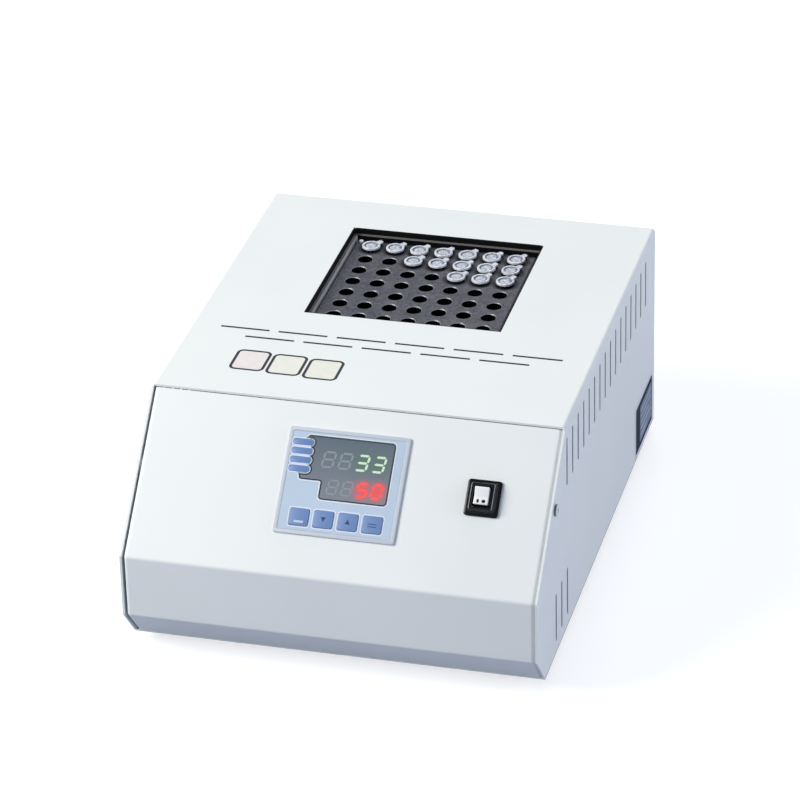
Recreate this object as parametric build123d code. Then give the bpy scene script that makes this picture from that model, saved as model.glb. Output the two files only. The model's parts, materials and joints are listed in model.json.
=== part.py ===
from build123d import *
import math
import os

# Dry block heater: a bench unit that warms microtubes in a drilled aluminium block.
# Millimetres. +Z is up and -Y is the front, where the control panel slopes. The origin is on
# the bench, under the middle of the unit. Every size that can be set by itself is named here.

# Case
CASE_WIDTH = 280.0
CASE_DEPTH = 378.0
CASE_HEIGHT = 153.5
SHEET = 1.5
BEND_RADIUS = 3.0
EDGE_RADIUS = 2.5
FLANGE = 12.0

# Front outline: a chamfer below, a short upright face and the sloping control panel
CHAMFER_RUN = 22.0
CHAMFER_RISE = 26.0
SLOPE_START = 70.5
SLOPE_RUN = 85.5
LEFT_GAP = 1.3
RIGHT_GAP = 0.3
SEAM_GAP = 1.8
PANEL_PLAY = 0.3
RETURN_DEPTH = 15.0

# Ventilation slots
TOP_SLOT_LENGTH = 34.2
TOP_SLOT_WIDTH = 2.2
TOP_SLOT_PITCH = 40.6
TOP_SLOT_ROW = 10.9
TOP_SLOT_OFFSET = 31.7
TOP_SLOT_COUNTS = (6, 5)
SIDE_SLOT_LENGTH = 35.0
SIDE_SLOT_WIDTH = 3.5
SIDE_SLOT_PITCH = 17.05
SIDE_SLOT_START = 89.3
SIDE_SLOT_DROP = 10.0
SIDE_SLOT_COUNT = 16
LOW_SLOT_RISE = 10.0
LOW_SLOT_COUNT = 3
BASE_SLOT_LENGTH = 40.0
BASE_SLOT_WIDTH = 3.5
BASE_SLOT_PITCH = 14.0
BASE_SLOT_COUNT = 7

# Well and heating block
WELL_WIDTH = 136.0
WELL_LENGTH = 130.0
WELL_SETBACK = 42.7
WELL_SHEET = 1.0
RIM_LEDGE = 1.5
RIM_DROP = 4.5
BLOCK_GAP = 1.5
BLOCK_DROP = 7.4
BLOCK_HEIGHT = 46.0
BLOCK_EDGE = 1.2
HOLE_COUNT = 7
COLUMN_PITCH = 17.5
ROW_PITCH = 16.9
HOLE_RADIUS = 5.2
HOLE_DEPTH = 37.0
BLOCK_SCREW_RADIUS = 1.6
BLOCK_SCREW_HEIGHT = 1.4
BLOCK_SCREW_INSET = 3.0

# Microtubes
TUBE_PLAY = 0.3
TUBE_LIFT = 1.0
TUBE_TIP_RADIUS = 2.0
TUBE_TIP_LENGTH = 16.0
TUBE_TIP_SIDES = 16
LID_RADIUS = 6.5
LID_HEIGHT = 2.9
TAB_REACH = 10.2
TAB_WIDTH = 4.6
TAB_ANGLE = 56.0
TUBE_COLUMNS = {"a": range(1, 8), "b": range(3, 8), "c": range(5, 8)}

# Heater under the block
PLATE_HEIGHT = 8.0
PLATE_PLAY = 0.3
ELEMENT_HEIGHT = 3.0
BOARD_HEIGHT = 20.0
WOOL_THICKNESS = 14.0
CARRIER_LIP = 10.0
PILLAR_RADIUS = 4.0
PROBE_RADIUS = 2.0
PROBE_LENGTH = 70.0
PROBE_DEPTH = 40.0
PROBE_PLAY = 0.2
THERMOSTAT_RADIUS = 8.0
THERMOSTAT_HEIGHT = 12.0
THERMOSTAT_PLAY = 1.0

# Controller on the slope
CONTROL_WIDTH = 81.6
CONTROL_HEIGHT = 72.4
CONTROL_DROP = 18.6
CONTROL_CORNER = 1.5
FACE_PROUD = 1.6
FACE_OVERLAP = 2.5
HOUSING_DEPTH = 58.0
HOUSING_WALL = 1.5
HOUSING_PLAY = 0.3
CLAMP_WALL = 3.0
CLAMP_HEIGHT = 12.0
WINDOW_THICKNESS = 0.8
WINDOW_WIDTH = 62.0
WINDOW_HEIGHT = 42.5
WINDOW_TOP = 5.1
WINDOW_SHIFT = 0.5
WINDOW_CORNER = 2.0
WINDOW_STEP_WIDTH = 16.2
WINDOW_STEP_HEIGHT = 12.4
LAMP_LENGTH = 14.4
LAMP_HEIGHT = 4.5
LAMP_PITCH = 6.05
LAMP_TOP = 7.9
LAMP_LEFT = 3.1
LAMP_BORDER = 1.1
LAMP_COUNT = 4
KEY_WIDTH = 13.5
KEY_HEIGHT = 12.0
KEY_MARGIN = 8.0
KEY_BOTTOM = 5.6
KEY_PLAY = 0.3
KEY_PROUD = 0.5
KEY_FLANGE = 0.8
KEY_FLANGE_HEIGHT = 1.0
KEY_TRAVEL = 0.8
KEY_COUNT = 4
TACT_SIZE = 6.0
TACT_HEIGHT = 3.5
CIRCUIT_HEIGHT = 1.6

# Power switch on the slope
SWITCH_WIDTH = 22.5
SWITCH_HEIGHT = 24.5
SWITCH_INSET = 46.0
SWITCH_DROP = 53.3
SWITCH_FLANGE = 2.0
SWITCH_MARGIN = 2.2
SWITCH_COLLAR = 4.0
SWITCH_TAPER = 18.0
SWITCH_DEPTH = 20.0
ROCKER_WIDTH = 11.0
ROCKER_LENGTH = 12.0
ROCKER_SIDE_PLAY = 0.3
ROCKER_END_PLAY = 0.8
ROCKER_CREST = 5.0
ROCKER_VALLEY = 4.0
ROCKER_ROOT = 4.0
ROCKER_TILT = 7.0
PIVOT_HEIGHT = 3.0
PIVOT_RADIUS = 1.2
PIVOT_REACH = 1.2
PIVOT_PLAY = 0.05
TERMINAL_WIDTH = 6.3
TERMINAL_THICKNESS = 0.8
TERMINAL_LENGTH = 8.0

# Power inlet on the rear panel
INLET_INSET = 60.0
INLET_RISE = 32.0
INLET_FLANGE = 3.0
INLET_WIDTH = 27.6
INLET_HEIGHT = 21.0
INLET_BODY_DEPTH = 21.0
INLET_EAR_SPACING = 40.0
INLET_EAR_RADIUS = 5.0
INLET_PLAY = 0.3
SOCKET_WIDTH = 24.4
SOCKET_HEIGHT = 16.8
SOCKET_DEPTH = 16.0
SOCKET_CHAMFER = 4.5
BLADE_WIDTH = 2.0
BLADE_HEIGHT = 4.0
BLADE_SPACING = 7.0
BLADE_RISE = 1.2
BLADE_SINK = 2.0

# Feet and screws
FOOT_HEIGHT = 8.0
FOOT_RADIUS = 10.0
FOOT_TAPER = 1.5
FOOT_INSET_X = 28.0
FOOT_INSET_FRONT = 52.0
FOOT_INSET_REAR = 32.0
SCREW_RADIUS = 2.0
SCREW_HEAD_RADIUS = 4.0
SCREW_HEAD_HEIGHT = 2.2
SCREW_LENGTH = 8.0
SCREW_PLAY = 0.1
BOSS_RADIUS = 5.5
SIDE_SCREW_DEPTH = 8.5

# Power circuit on the base
RELAY_WIDTH = 45.0
RELAY_LENGTH = 58.0
RELAY_HEIGHT = 23.0
RELAY_OFFSET = -70.0
RELAY_FRONT = 78.0
STRIP_WAYS = 6
STRIP_PITCH = 11.0
STRIP_WIDTH = 24.0
STRIP_HEIGHT = 16.0
STRIP_WALL = 1.6
STRIP_OFFSET = 60.0
STRIP_FRONT = 96.0

# Levels and places that follow from the sizes
BASE_Z = FOOT_HEIGHT
FLOOR_Z = BASE_Z + SHEET
TOP_Z = BASE_Z + CASE_HEIGHT
REAR_PROUD = INLET_FLANGE - SHEET
FRONT_Y = -(CASE_DEPTH + REAR_PROUD) / 2
REAR_Y = FRONT_Y + CASE_DEPTH
SLOPE_RISE = CASE_HEIGHT - SLOPE_START
SLOPE_ANGLE = math.atan2(SLOPE_RISE, SLOPE_RUN)
SLOPE_SIN = math.sin(SLOPE_ANGLE)
SLOPE_COS = math.cos(SLOPE_ANGLE)
SLOPE = Plane(
    origin=(0, FRONT_Y + SLOPE_RUN, TOP_Z),
    x_dir=(1, 0, 0),
    z_dir=(0, -SLOPE_SIN, SLOPE_COS),
)
SWITCH_X = CASE_WIDTH / 2 - SWITCH_INSET
INLET_X = CASE_WIDTH / 2 - INLET_INSET
KEY_PITCH = (CONTROL_WIDTH - 2 * KEY_MARGIN) / KEY_COUNT
WELL_Y = REAR_Y - WELL_SETBACK - WELL_LENGTH / 2
SLEEVE_WIDTH = WELL_WIDTH - 2 * RIM_LEDGE
SLEEVE_LENGTH = WELL_LENGTH - 2 * RIM_LEDGE
BLOCK_TOP = TOP_Z - BLOCK_DROP
BLOCK_BOTTOM = BLOCK_TOP - BLOCK_HEIGHT
PLATE_BOTTOM = BLOCK_BOTTOM - PLATE_HEIGHT
ELEMENT_BOTTOM = PLATE_BOTTOM - ELEMENT_HEIGHT
BOARD_BOTTOM = ELEMENT_BOTTOM - BOARD_HEIGHT
CARRIER_BOTTOM = BOARD_BOTTOM - SHEET
WOOL_WIDTH = SLEEVE_WIDTH + 2 * (WELL_SHEET + WOOL_THICKNESS)
WOOL_LENGTH = SLEEVE_LENGTH + 2 * (WELL_SHEET + WOOL_THICKNESS)


def box(x, y, z):
    """A box between a low and a high limit along each axis."""
    centre = Pos(sum(x) / 2, sum(y) / 2, sum(z) / 2)
    return centre * Box(x[1] - x[0], y[1] - y[0], z[1] - z[0])


def both_sides(shape):
    """A shape on the right and its mirror image on the left."""
    return [shape, mirror(shape, Plane.YZ)]


def on_slope(u, drop, out=0.0):
    """The control panel's frame, u right of its middle and drop below its upper edge."""
    return SLOPE * Pos(u, -drop, out)


def screw(length=SCREW_LENGTH):
    """A pan-head screw whose head stands on Z = 0 and whose shank points down."""
    head = Pos(0, 0, SCREW_HEAD_HEIGHT / 2) * Cylinder(SCREW_HEAD_RADIUS, SCREW_HEAD_HEIGHT)
    return head + Pos(0, 0, -length / 2) * Cylinder(SCREW_RADIUS, length)


def screw_hole(length):
    """The hole for a screw, centred on Z = 0."""
    return Cylinder(SCREW_RADIUS + SCREW_PLAY, length)


def front_outline(inset=0.0, trim=0.0):
    """Corners (y, z) of the front, from the base up to the seam, moved in by inset.

    trim shortens both ends."""
    chamfer = math.hypot(CHAMFER_RUN, CHAMFER_RISE)
    low_z = FLOOR_Z + trim
    low_y = FRONT_Y + CHAMFER_RUN + (inset * chamfer - (low_z - BASE_Z) * CHAMFER_RUN) / CHAMFER_RISE
    knee_z = BASE_Z + (inset * chamfer - (inset - CHAMFER_RUN) * CHAMFER_RISE) / CHAMFER_RUN
    brow_z = BASE_Z + SLOPE_START + inset * (SLOPE_SIN - 1) / SLOPE_COS
    seam = SEAM_GAP + trim
    seam_y = FRONT_Y + SLOPE_RUN - seam * SLOPE_COS + inset * SLOPE_SIN
    seam_z = TOP_Z - seam * SLOPE_SIN - inset * SLOPE_COS
    return [
        (low_y, low_z),
        (FRONT_Y + inset, knee_z),
        (FRONT_Y + inset, brow_z),
        (seam_y, seam_z),
    ]


def across(face, width):
    """A face drawn in Y and Z, extruded to a width about X = 0."""
    return extrude(Plane.YZ * face, width / 2, both=True)


# ---------------------------------------------------------------- Case


def side_slots():
    """Upright slots through both side walls: a long row below the top and a few low down."""
    upper = [(k, TOP_Z - SIDE_SLOT_DROP - SIDE_SLOT_LENGTH / 2) for k in range(SIDE_SLOT_COUNT)]
    lower = [(-k, BASE_Z + LOW_SLOT_RISE + SIDE_SLOT_LENGTH / 2) for k in range(LOW_SLOT_COUNT)]
    cut = Box(2 * CASE_WIDTH, SIDE_SLOT_WIDTH, SIDE_SLOT_LENGTH)
    return [
        Pos(0, FRONT_Y + SIDE_SLOT_START + k * SIDE_SLOT_PITCH, z) * cut
        for k, z in upper + lower
    ]


def top_slots():
    """Two staggered rows of slots in front of the well."""
    front_edge = WELL_Y - WELL_LENGTH / 2
    cut = Box(TOP_SLOT_LENGTH, TOP_SLOT_WIDTH, 4 * SHEET)
    cuts = []
    for row, count in enumerate(TOP_SLOT_COUNTS):
        y = front_edge - TOP_SLOT_OFFSET - row * TOP_SLOT_ROW
        for k in range(count):
            x = (k - (count - 1) / 2) * TOP_SLOT_PITCH
            cuts.append(Pos(x, y, TOP_Z) * cut)
    return cuts


def side_screw_frame():
    """Frame of the right side screw, pointing out of the case."""
    spot = on_slope(0, SWITCH_DROP, -SIDE_SCREW_DEPTH).position
    return Pos(CASE_WIDTH / 2, spot.Y, spot.Z) * Rot(0, 90, 0)


def make_top_cover():
    """Top and side walls in one folded sheet, with flanges at the rear and along the base."""
    inside = CASE_WIDTH / 2 - SHEET
    outer = Rectangle(CASE_WIDTH, CASE_HEIGHT - SHEET, align=(Align.CENTER, Align.MAX))
    outer = fillet(outer.vertices().group_by(Axis.Y)[-1], BEND_RADIUS)
    hollow = Pos(0, -SHEET) * Rectangle(2 * inside, CASE_HEIGHT, align=(Align.CENTER, Align.MAX))
    hollow = fillet(hollow.vertices().group_by(Axis.Y)[-1], BEND_RADIUS - SHEET)
    rear_frame = Plane(origin=(0, REAR_Y, TOP_Z), x_dir=(1, 0, 0), z_dir=(0, -1, 0))
    shell = extrude(rear_frame * (outer - hollow), CASE_DEPTH)
    low, knee, brow, _ = front_outline()
    corner_y = FRONT_Y + SLOPE_RUN
    corner = (corner_y, TOP_Z)
    outline = [low, knee, brow, corner, (REAR_Y, TOP_Z), (REAR_Y, FLOOR_Z)]
    cover = shell & across(make_face(Polyline(*outline, close=True)), CASE_WIDTH)
    reach = inside - FLANGE
    opening = box((-reach, reach), (REAR_Y - 2 * SHEET, REAR_Y), (BASE_Z, TOP_Z - SHEET - FLANGE))
    rear_flange = box((-inside, inside), (REAR_Y - SHEET, REAR_Y), (FLOOR_Z, TOP_Z - SHEET))
    cover += rear_flange - opening
    lower_front = FRONT_Y + CHAMFER_RUN + 2 * RETURN_DEPTH
    cover += both_sides(
        box((reach, inside), (lower_front, REAR_Y - 2 * SHEET), (FLOOR_Z, FLOOR_Z + SHEET))
    )
    mouth = Rectangle(WELL_WIDTH + 2 * WELL_SHEET, WELL_LENGTH + 2 * WELL_SHEET)
    well = extrude(Pos(0, WELL_Y, TOP_Z) * mouth, 2 * SHEET, both=True)
    square_end = box((-inside, inside), (corner_y - 2 * SHEET, corner_y), (TOP_Z - 2 * SHEET, TOP_Z))
    cover -= [square_end, well] + top_slots() + side_slots()
    cover -= both_sides(side_screw_frame() * screw_hole(4 * SHEET))
    return cover


def band(near, far, trim=0.0):
    """The front's outline as a band between two depths under its surface."""
    return make_face(Polyline(*front_outline(near, trim), *front_outline(far, trim)[::-1], close=True))


def front_block(inset=0.0):
    """The front as a block one return deep, moved in by inset, with round folds and side edges."""
    width = CASE_WIDTH - LEFT_GAP - RIGHT_GAP - 2 * (SHEET + inset)
    block = across(band(inset, RETURN_DEPTH + inset, inset), width)
    outline = Plane.YZ * Polyline(*front_outline(inset, inset))
    folds = [e for e in block.edges().filter_by(Axis.X) if outline.distance_to(e.center()) < SHEET / 2]
    folds = ShapeList(folds).sort_by(Axis.Z)[1:-1]
    block = fillet(folds, BEND_RADIUS - inset)
    for side in (-1, 1):
        skin = Pos(side * width / 2) * outline
        edges = [e for e in block.edges() if skin.distance_to(e.center()) < SHEET / 2]
        block = fillet(edges, EDGE_RADIUS - inset)
    return Pos((LEFT_GAP - RIGHT_GAP) / 2) * block


def make_front_panel():
    """Folded pan that closes the front: chamfer, upright face and slope, with edges turned in."""
    pan = front_block() - front_block(SHEET)
    opening = Rectangle(CONTROL_WIDTH - 2 * FACE_OVERLAP, CONTROL_HEIGHT - 2 * FACE_OVERLAP)
    pan -= extrude(control_frame() * opening, 2 * SHEET, both=True)
    pan -= extrude(switch_frame() * switch_opening(), 2 * SHEET, both=True)
    spot = side_screw_frame().position
    for side, gap in ((-1, LEFT_GAP), (1, RIGHT_GAP)):
        boss = Rot(0, 90, 0) * Cylinder(BOSS_RADIUS, gap)
        pan += Pos(side * ((CASE_WIDTH - gap) / 2 - SHEET), spot.Y, spot.Z) * boss
    return pan - both_sides(side_screw_frame() * screw_hole(4 * (SHEET + LEFT_GAP)))


def make_base_plate():
    """Flat base with two groups of air slots under the electronics."""
    front = FRONT_Y + CHAMFER_RUN
    plate = box((-CASE_WIDTH / 2, CASE_WIDTH / 2), (front, REAR_Y), (BASE_Z, FLOOR_Z))
    slot = Box(BASE_SLOT_LENGTH, BASE_SLOT_WIDTH, 4 * SHEET)
    row_y = front + 6 * FLANGE
    for x in (-CASE_WIDTH / 5, CASE_WIDTH / 5):
        for k in range(BASE_SLOT_COUNT):
            y = row_y + (k - (BASE_SLOT_COUNT - 1) / 2) * BASE_SLOT_PITCH
            plate -= Pos(x, y, BASE_Z) * slot
    return plate


def make_rear_panel():
    """Plate behind the cover's rear flange, with the opening for the power inlet."""
    half = CASE_WIDTH / 2 - SHEET - PANEL_PLAY
    high = TOP_Z - SHEET - PANEL_PLAY
    panel = box((-half, half), (REAR_Y - 2 * SHEET, REAR_Y - SHEET), (FLOOR_Z, high))
    panel = fillet(panel.edges().filter_by(Axis.Y).group_by(Axis.Z)[-1], BEND_RADIUS)
    opening = Rectangle(INLET_WIDTH + 2 * INLET_PLAY, INLET_HEIGHT + 2 * INLET_PLAY)
    return panel - extrude(inlet_frame() * opening, 2 * SHEET, both=True)


# ---------------------------------------------------------------- Feet and screws


def foot_places():
    """Places (x, y) of the four feet."""
    x = CASE_WIDTH / 2 - FOOT_INSET_X
    return [
        (side * x, y)
        for side in (-1, 1)
        for y in (FRONT_Y + FOOT_INSET_FRONT, REAR_Y - FOOT_INSET_REAR)
    ]


def make_rubber_feet():
    """Four tapered rubber feet."""
    foot = Solid.make_cone(FOOT_RADIUS - FOOT_TAPER, FOOT_RADIUS, FOOT_HEIGHT)
    return [Pos(x, y, 0) * foot for x, y in foot_places()]


def make_side_screws():
    """One screw on each side, through the cover into the front panel's turned-in edge."""
    return both_sides(side_screw_frame() * screw())


# ---------------------------------------------------------------- Well, block and heater


def sleeve(width, length, wall, low, high):
    """A rectangular sleeve round the well's axis, given by its inner size."""
    ring = Rectangle(width + 2 * wall, length + 2 * wall) - Rectangle(width, length)
    return extrude(Pos(0, WELL_Y, low) * ring, high - low)


def probe_frame():
    """Frame on the axis of the temperature probe, at the plate's front edge, pointing in."""
    y = WELL_Y - SLEEVE_LENGTH / 2 + PLATE_PLAY
    return Pos(0, y, (BLOCK_BOTTOM + PLATE_BOTTOM) / 2) * Rot(-90, 0, 0)


def probe_hole(depth):
    """The hole that clears the probe, from well outside the heater to a depth in the plate."""
    centred_end = (Align.CENTER, Align.CENTER, Align.MIN)
    hole = Cylinder(PROBE_RADIUS + PROBE_PLAY, PROBE_LENGTH + depth, align=centred_end)
    return probe_frame() * Pos(0, 0, -PROBE_LENGTH) * hole


def make_well_frame():
    """Black sheet that lines the well: a rim in the cover's mouth, a flange, a ledge and the sleeve."""
    under = TOP_Z - SHEET
    ledge = TOP_Z - RIM_DROP
    frame = sleeve(WELL_WIDTH, WELL_LENGTH, FLANGE, under - WELL_SHEET, under)
    frame += sleeve(WELL_WIDTH, WELL_LENGTH, WELL_SHEET, ledge - WELL_SHEET, TOP_Z)
    frame += sleeve(SLEEVE_WIDTH, SLEEVE_LENGTH, RIM_LEDGE, ledge - WELL_SHEET, ledge)
    frame += sleeve(SLEEVE_WIDTH, SLEEVE_LENGTH, WELL_SHEET, ELEMENT_BOTTOM, ledge)
    return frame - probe_hole(0)


def hole_places():
    """Places (x, y) of the block's holes by name: a row letter from the rear, then a column."""
    middle = (HOLE_COUNT + 1) / 2
    return {
        f"{row}{column}": (
            (column - middle) * COLUMN_PITCH,
            WELL_Y + (middle - 1 - k) * ROW_PITCH,
        )
        for k, row in enumerate("abcdefghijkl"[:HOLE_COUNT])
        for column in range(1, HOLE_COUNT + 1)
    }


def block_screw_place():
    """Place (x, y) of the small screw in the block's rear left corner."""
    return (
        -SLEEVE_WIDTH / 2 + BLOCK_GAP + BLOCK_SCREW_INSET,
        WELL_Y + SLEEVE_LENGTH / 2 - BLOCK_GAP - BLOCK_SCREW_INSET,
    )


def make_heating_block():
    """Aluminium block with rows and columns of drilled holes."""
    width = SLEEVE_WIDTH - 2 * BLOCK_GAP
    length = SLEEVE_LENGTH - 2 * BLOCK_GAP
    block = box(
        (-width / 2, width / 2),
        (WELL_Y - length / 2, WELL_Y + length / 2),
        (BLOCK_BOTTOM, BLOCK_TOP),
    )
    block = chamfer(block.faces().sort_by(Axis.Z)[-1].edges(), BLOCK_EDGE)
    hole = Cylinder(HOLE_RADIUS, 2 * HOLE_DEPTH)
    x, y = block_screw_place()
    tapped = Pos(x, y, BLOCK_TOP) * Cylinder(BLOCK_SCREW_RADIUS, 4 * BLOCK_SCREW_RADIUS)
    return block - [Pos(x, y, BLOCK_TOP) * hole for x, y in hole_places().values()] - tapped


def make_block_screw():
    """Small screw in the block's corner."""
    x, y = block_screw_place()
    low = BLOCK_TOP - 2 * BLOCK_SCREW_RADIUS
    high = BLOCK_TOP + BLOCK_SCREW_HEIGHT
    return Pos(x, y, (low + high) / 2) * Cylinder(BLOCK_SCREW_RADIUS, high - low)


def make_tube_tip():
    """The tube's narrowing end, below Z = 0, in flat sides."""
    angles = [math.tau * k / TUBE_TIP_SIDES for k in range(TUBE_TIP_SIDES)]
    upper, lower = [
        [Vector(radius * math.cos(angle), radius * math.sin(angle), z) for angle in angles]
        for radius, z in ((HOLE_RADIUS - TUBE_PLAY, 0), (TUBE_TIP_RADIUS, -TUBE_TIP_LENGTH))
    ]
    outlines = [upper, lower]
    for k in range(TUBE_TIP_SIDES):
        outlines.append([upper[k - 1], upper[k], lower[k], lower[k - 1]])
    return Solid(Shell([Face(Wire.make_polygon(outline)) for outline in outlines]))


def make_microtube():
    """Closed tube standing in a hole: Z = 0 is the block's top, where its lid rests."""
    straight = HOLE_DEPTH - TUBE_LIFT - TUBE_TIP_LENGTH
    below = (Align.CENTER, Align.CENTER, Align.MAX)
    body = Cylinder(HOLE_RADIUS - TUBE_PLAY, straight, align=below)
    lid = Cylinder(LID_RADIUS, LID_HEIGHT, align=(Align.CENTER, Align.CENTER, Align.MIN))
    tab = Pos(TAB_REACH / 2, 0, LID_HEIGHT / 2) * Box(TAB_REACH, TAB_WIDTH, LID_HEIGHT)
    return body + Pos(0, 0, -straight) * make_tube_tip() + lid + Rot(0, 0, TAB_ANGLE) * tab


def heater_layer(low, high):
    """A flat layer that fills the sleeve between two levels."""
    half_width = SLEEVE_WIDTH / 2 - PLATE_PLAY
    half_length = SLEEVE_LENGTH / 2 - PLATE_PLAY
    return box((-half_width, half_width), (WELL_Y - half_length, WELL_Y + half_length), (low, high))


def thermostat_place():
    """Axis of the overheat thermostat, halfway from the sleeve's middle to two of its walls."""
    return Pos(SLEEVE_WIDTH / 4, WELL_Y + SLEEVE_LENGTH / 4, 0)


def thermostat_hole():
    """Hole through the layers under the heater plate, for the thermostat and its leads."""
    height = PLATE_BOTTOM - CARRIER_BOTTOM
    side = 2 * (THERMOSTAT_RADIUS + THERMOSTAT_PLAY)
    hole = Box(side, side, height, align=(Align.CENTER, Align.CENTER, Align.MAX))
    return thermostat_place() * Pos(0, 0, PLATE_BOTTOM) * hole


def make_heater_plate():
    """Plate that spreads the heat under the block."""
    return heater_layer(PLATE_BOTTOM, BLOCK_BOTTOM) - probe_hole(PROBE_DEPTH)


def make_heating_element():
    """Flat element under the plate."""
    return heater_layer(ELEMENT_BOTTOM, PLATE_BOTTOM) - thermostat_hole()


def make_insulation_board():
    """Rigid board between the element and its carrier."""
    return heater_layer(BOARD_BOTTOM, ELEMENT_BOTTOM) - thermostat_hole()


def make_side_insulation():
    """Insulation round the sleeve, from the carrier to the ledge."""
    inner_width = SLEEVE_WIDTH + 2 * WELL_SHEET
    inner_length = SLEEVE_LENGTH + 2 * WELL_SHEET
    top = TOP_Z - RIM_DROP - WELL_SHEET
    return sleeve(inner_width, inner_length, WOOL_THICKNESS, BOARD_BOTTOM, top) - probe_hole(0)


def make_carrier_plate():
    """Tray that carries the heater and its insulation, with a lip all round."""
    base = extrude(Pos(0, WELL_Y, CARRIER_BOTTOM) * Rectangle(WOOL_WIDTH, WOOL_LENGTH), SHEET)
    lip = sleeve(WOOL_WIDTH, WOOL_LENGTH, SHEET, CARRIER_BOTTOM, BOARD_BOTTOM + CARRIER_LIP)
    return base + lip - thermostat_hole()


def make_pillars():
    """Four hexagonal pillars between the base and the carrier."""
    body = extrude(RegularPolygon(PILLAR_RADIUS, 6), CARRIER_BOTTOM - FLOOR_Z)
    x = WOOL_WIDTH / 2 - 2 * PILLAR_RADIUS
    y = WOOL_LENGTH / 2 - 2 * PILLAR_RADIUS
    return [Pos(i * x, WELL_Y + j * y, FLOOR_Z) * body for i in (-1, 1) for j in (-1, 1)]


def make_temperature_probe():
    """Probe pushed into the heater plate from the front."""
    rod = Cylinder(PROBE_RADIUS, PROBE_LENGTH, align=(Align.CENTER, Align.CENTER, Align.MAX))
    return probe_frame() * Pos(0, 0, PROBE_DEPTH) * rod


def make_thermostat():
    """Bimetal overheat thermostat against the plate, with its two tabs."""
    can = Cylinder(THERMOSTAT_RADIUS, THERMOSTAT_HEIGHT, align=(Align.CENTER, Align.CENTER, Align.MAX))
    tab = box(
        (-TERMINAL_THICKNESS / 2, TERMINAL_THICKNESS / 2),
        (-TERMINAL_WIDTH / 2, TERMINAL_WIDTH / 2),
        (-THERMOSTAT_HEIGHT - TERMINAL_LENGTH, -THERMOSTAT_HEIGHT),
    )
    offset = THERMOSTAT_RADIUS / 2
    return thermostat_place() * Pos(0, 0, PLATE_BOTTOM) * (can + Pos(-offset) * tab + Pos(offset) * tab)


# ---------------------------------------------------------------- Controller


def control_frame(out=0.0):
    """Frame at the middle of the controller, on the slope's surface."""
    return on_slope(0, CONTROL_DROP + CONTROL_HEIGHT / 2, out)


def key_centre(k):
    """Middle of a key in the controller's frame."""
    y = -CONTROL_HEIGHT / 2 + KEY_BOTTOM + KEY_HEIGHT / 2
    return Pos((k - (KEY_COUNT - 1) / 2) * KEY_PITCH, y)


def lamp_centre(k):
    """Middle of an indicator lamp in the controller's frame."""
    x = -CONTROL_WIDTH / 2 + LAMP_LEFT + LAMP_LENGTH / 2
    y = CONTROL_HEIGHT / 2 - LAMP_TOP - LAMP_HEIGHT / 2
    return Pos(x, y - k * LAMP_PITCH)


def lamp_outline(margin=0.0):
    """Bar of an indicator lamp with cut corners, grown by a margin."""
    bar = Rectangle(LAMP_LENGTH + 2 * margin, LAMP_HEIGHT + 2 * margin)
    return chamfer(bar.vertices(), LAMP_HEIGHT / 3 + margin / 2)


def window_outline():
    """Stepped outline of the display window, cut round the lamps on its left."""
    top = CONTROL_HEIGHT / 2 - WINDOW_TOP
    left = WINDOW_SHIFT - WINDOW_WIDTH / 2
    right = left + WINDOW_WIDTH
    low = top - WINDOW_HEIGHT
    corners = [
        (left, top),
        (right, top),
        (right, low),
        (left + WINDOW_STEP_WIDTH, low),
        (left + WINDOW_STEP_WIDTH, low + WINDOW_STEP_HEIGHT),
        (left, low + WINDOW_STEP_HEIGHT),
    ]
    outline = make_face(Polyline(*corners, close=True))
    outline = chamfer(outline.vertices(), WINDOW_CORNER / 2)
    return outline - [lamp_centre(k) * lamp_outline(LAMP_BORDER) for k in range(LAMP_COUNT)]


def make_controller_face():
    """Moulded face plate with openings for the keys and pockets for the window and lamps."""
    face = extrude(RectangleRounded(CONTROL_WIDTH, CONTROL_HEIGHT, CONTROL_CORNER), FACE_PROUD)
    face = chamfer(face.faces().sort_by(Axis.Z)[-1].edges(), FACE_PROUD / 4)
    pocket = extrude(Pos(0, 0, FACE_PROUD - WINDOW_THICKNESS) * window_outline(), FACE_PROUD)
    face -= pocket
    opening = Rectangle(KEY_WIDTH + 2 * KEY_PLAY, KEY_HEIGHT + 2 * KEY_PLAY)
    for k in range(KEY_COUNT):
        face -= extrude(key_centre(k) * opening, FACE_PROUD)
    for k in range(LAMP_COUNT):
        face -= extrude(lamp_centre(k) * lamp_outline(), FACE_PROUD)
    return control_frame() * face


def make_display_window():
    """Dark window over the figures, let into the face."""
    window = extrude(window_outline(), WINDOW_THICKNESS)
    return control_frame(FACE_PROUD - WINDOW_THICKNESS) * window


def make_indicator_lamps():
    """Row of lamp lenses beside the window."""
    lens = extrude(lamp_outline(), FACE_PROUD)
    return [control_frame() * lamp_centre(k) * lens for k in range(LAMP_COUNT)]


def key_depth():
    """How far a key's flange and stem reach under the face."""
    return KEY_FLANGE_HEIGHT + TACT_HEIGHT / 4


def circuit_top():
    """Level of the circuit board's upper side under the slope's surface."""
    return -(key_depth() + KEY_TRAVEL + KEY_PLAY + TACT_HEIGHT)


def make_key(k):
    """Key with a flange that holds it behind the face and a stem over its switch."""
    cap = extrude(Rectangle(KEY_WIDTH, KEY_HEIGHT), FACE_PROUD + KEY_PROUD)
    cap = chamfer(cap.faces().sort_by(Axis.Z)[-1].edges(), KEY_PROUD / 2)
    cap += extrude(Rectangle(KEY_WIDTH + 2 * KEY_FLANGE, KEY_HEIGHT + 2 * KEY_FLANGE), -KEY_FLANGE_HEIGHT)
    cap += extrude(Rectangle(TACT_SIZE / 2, TACT_SIZE / 2), -key_depth())
    return control_frame() * key_centre(k) * cap


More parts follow.
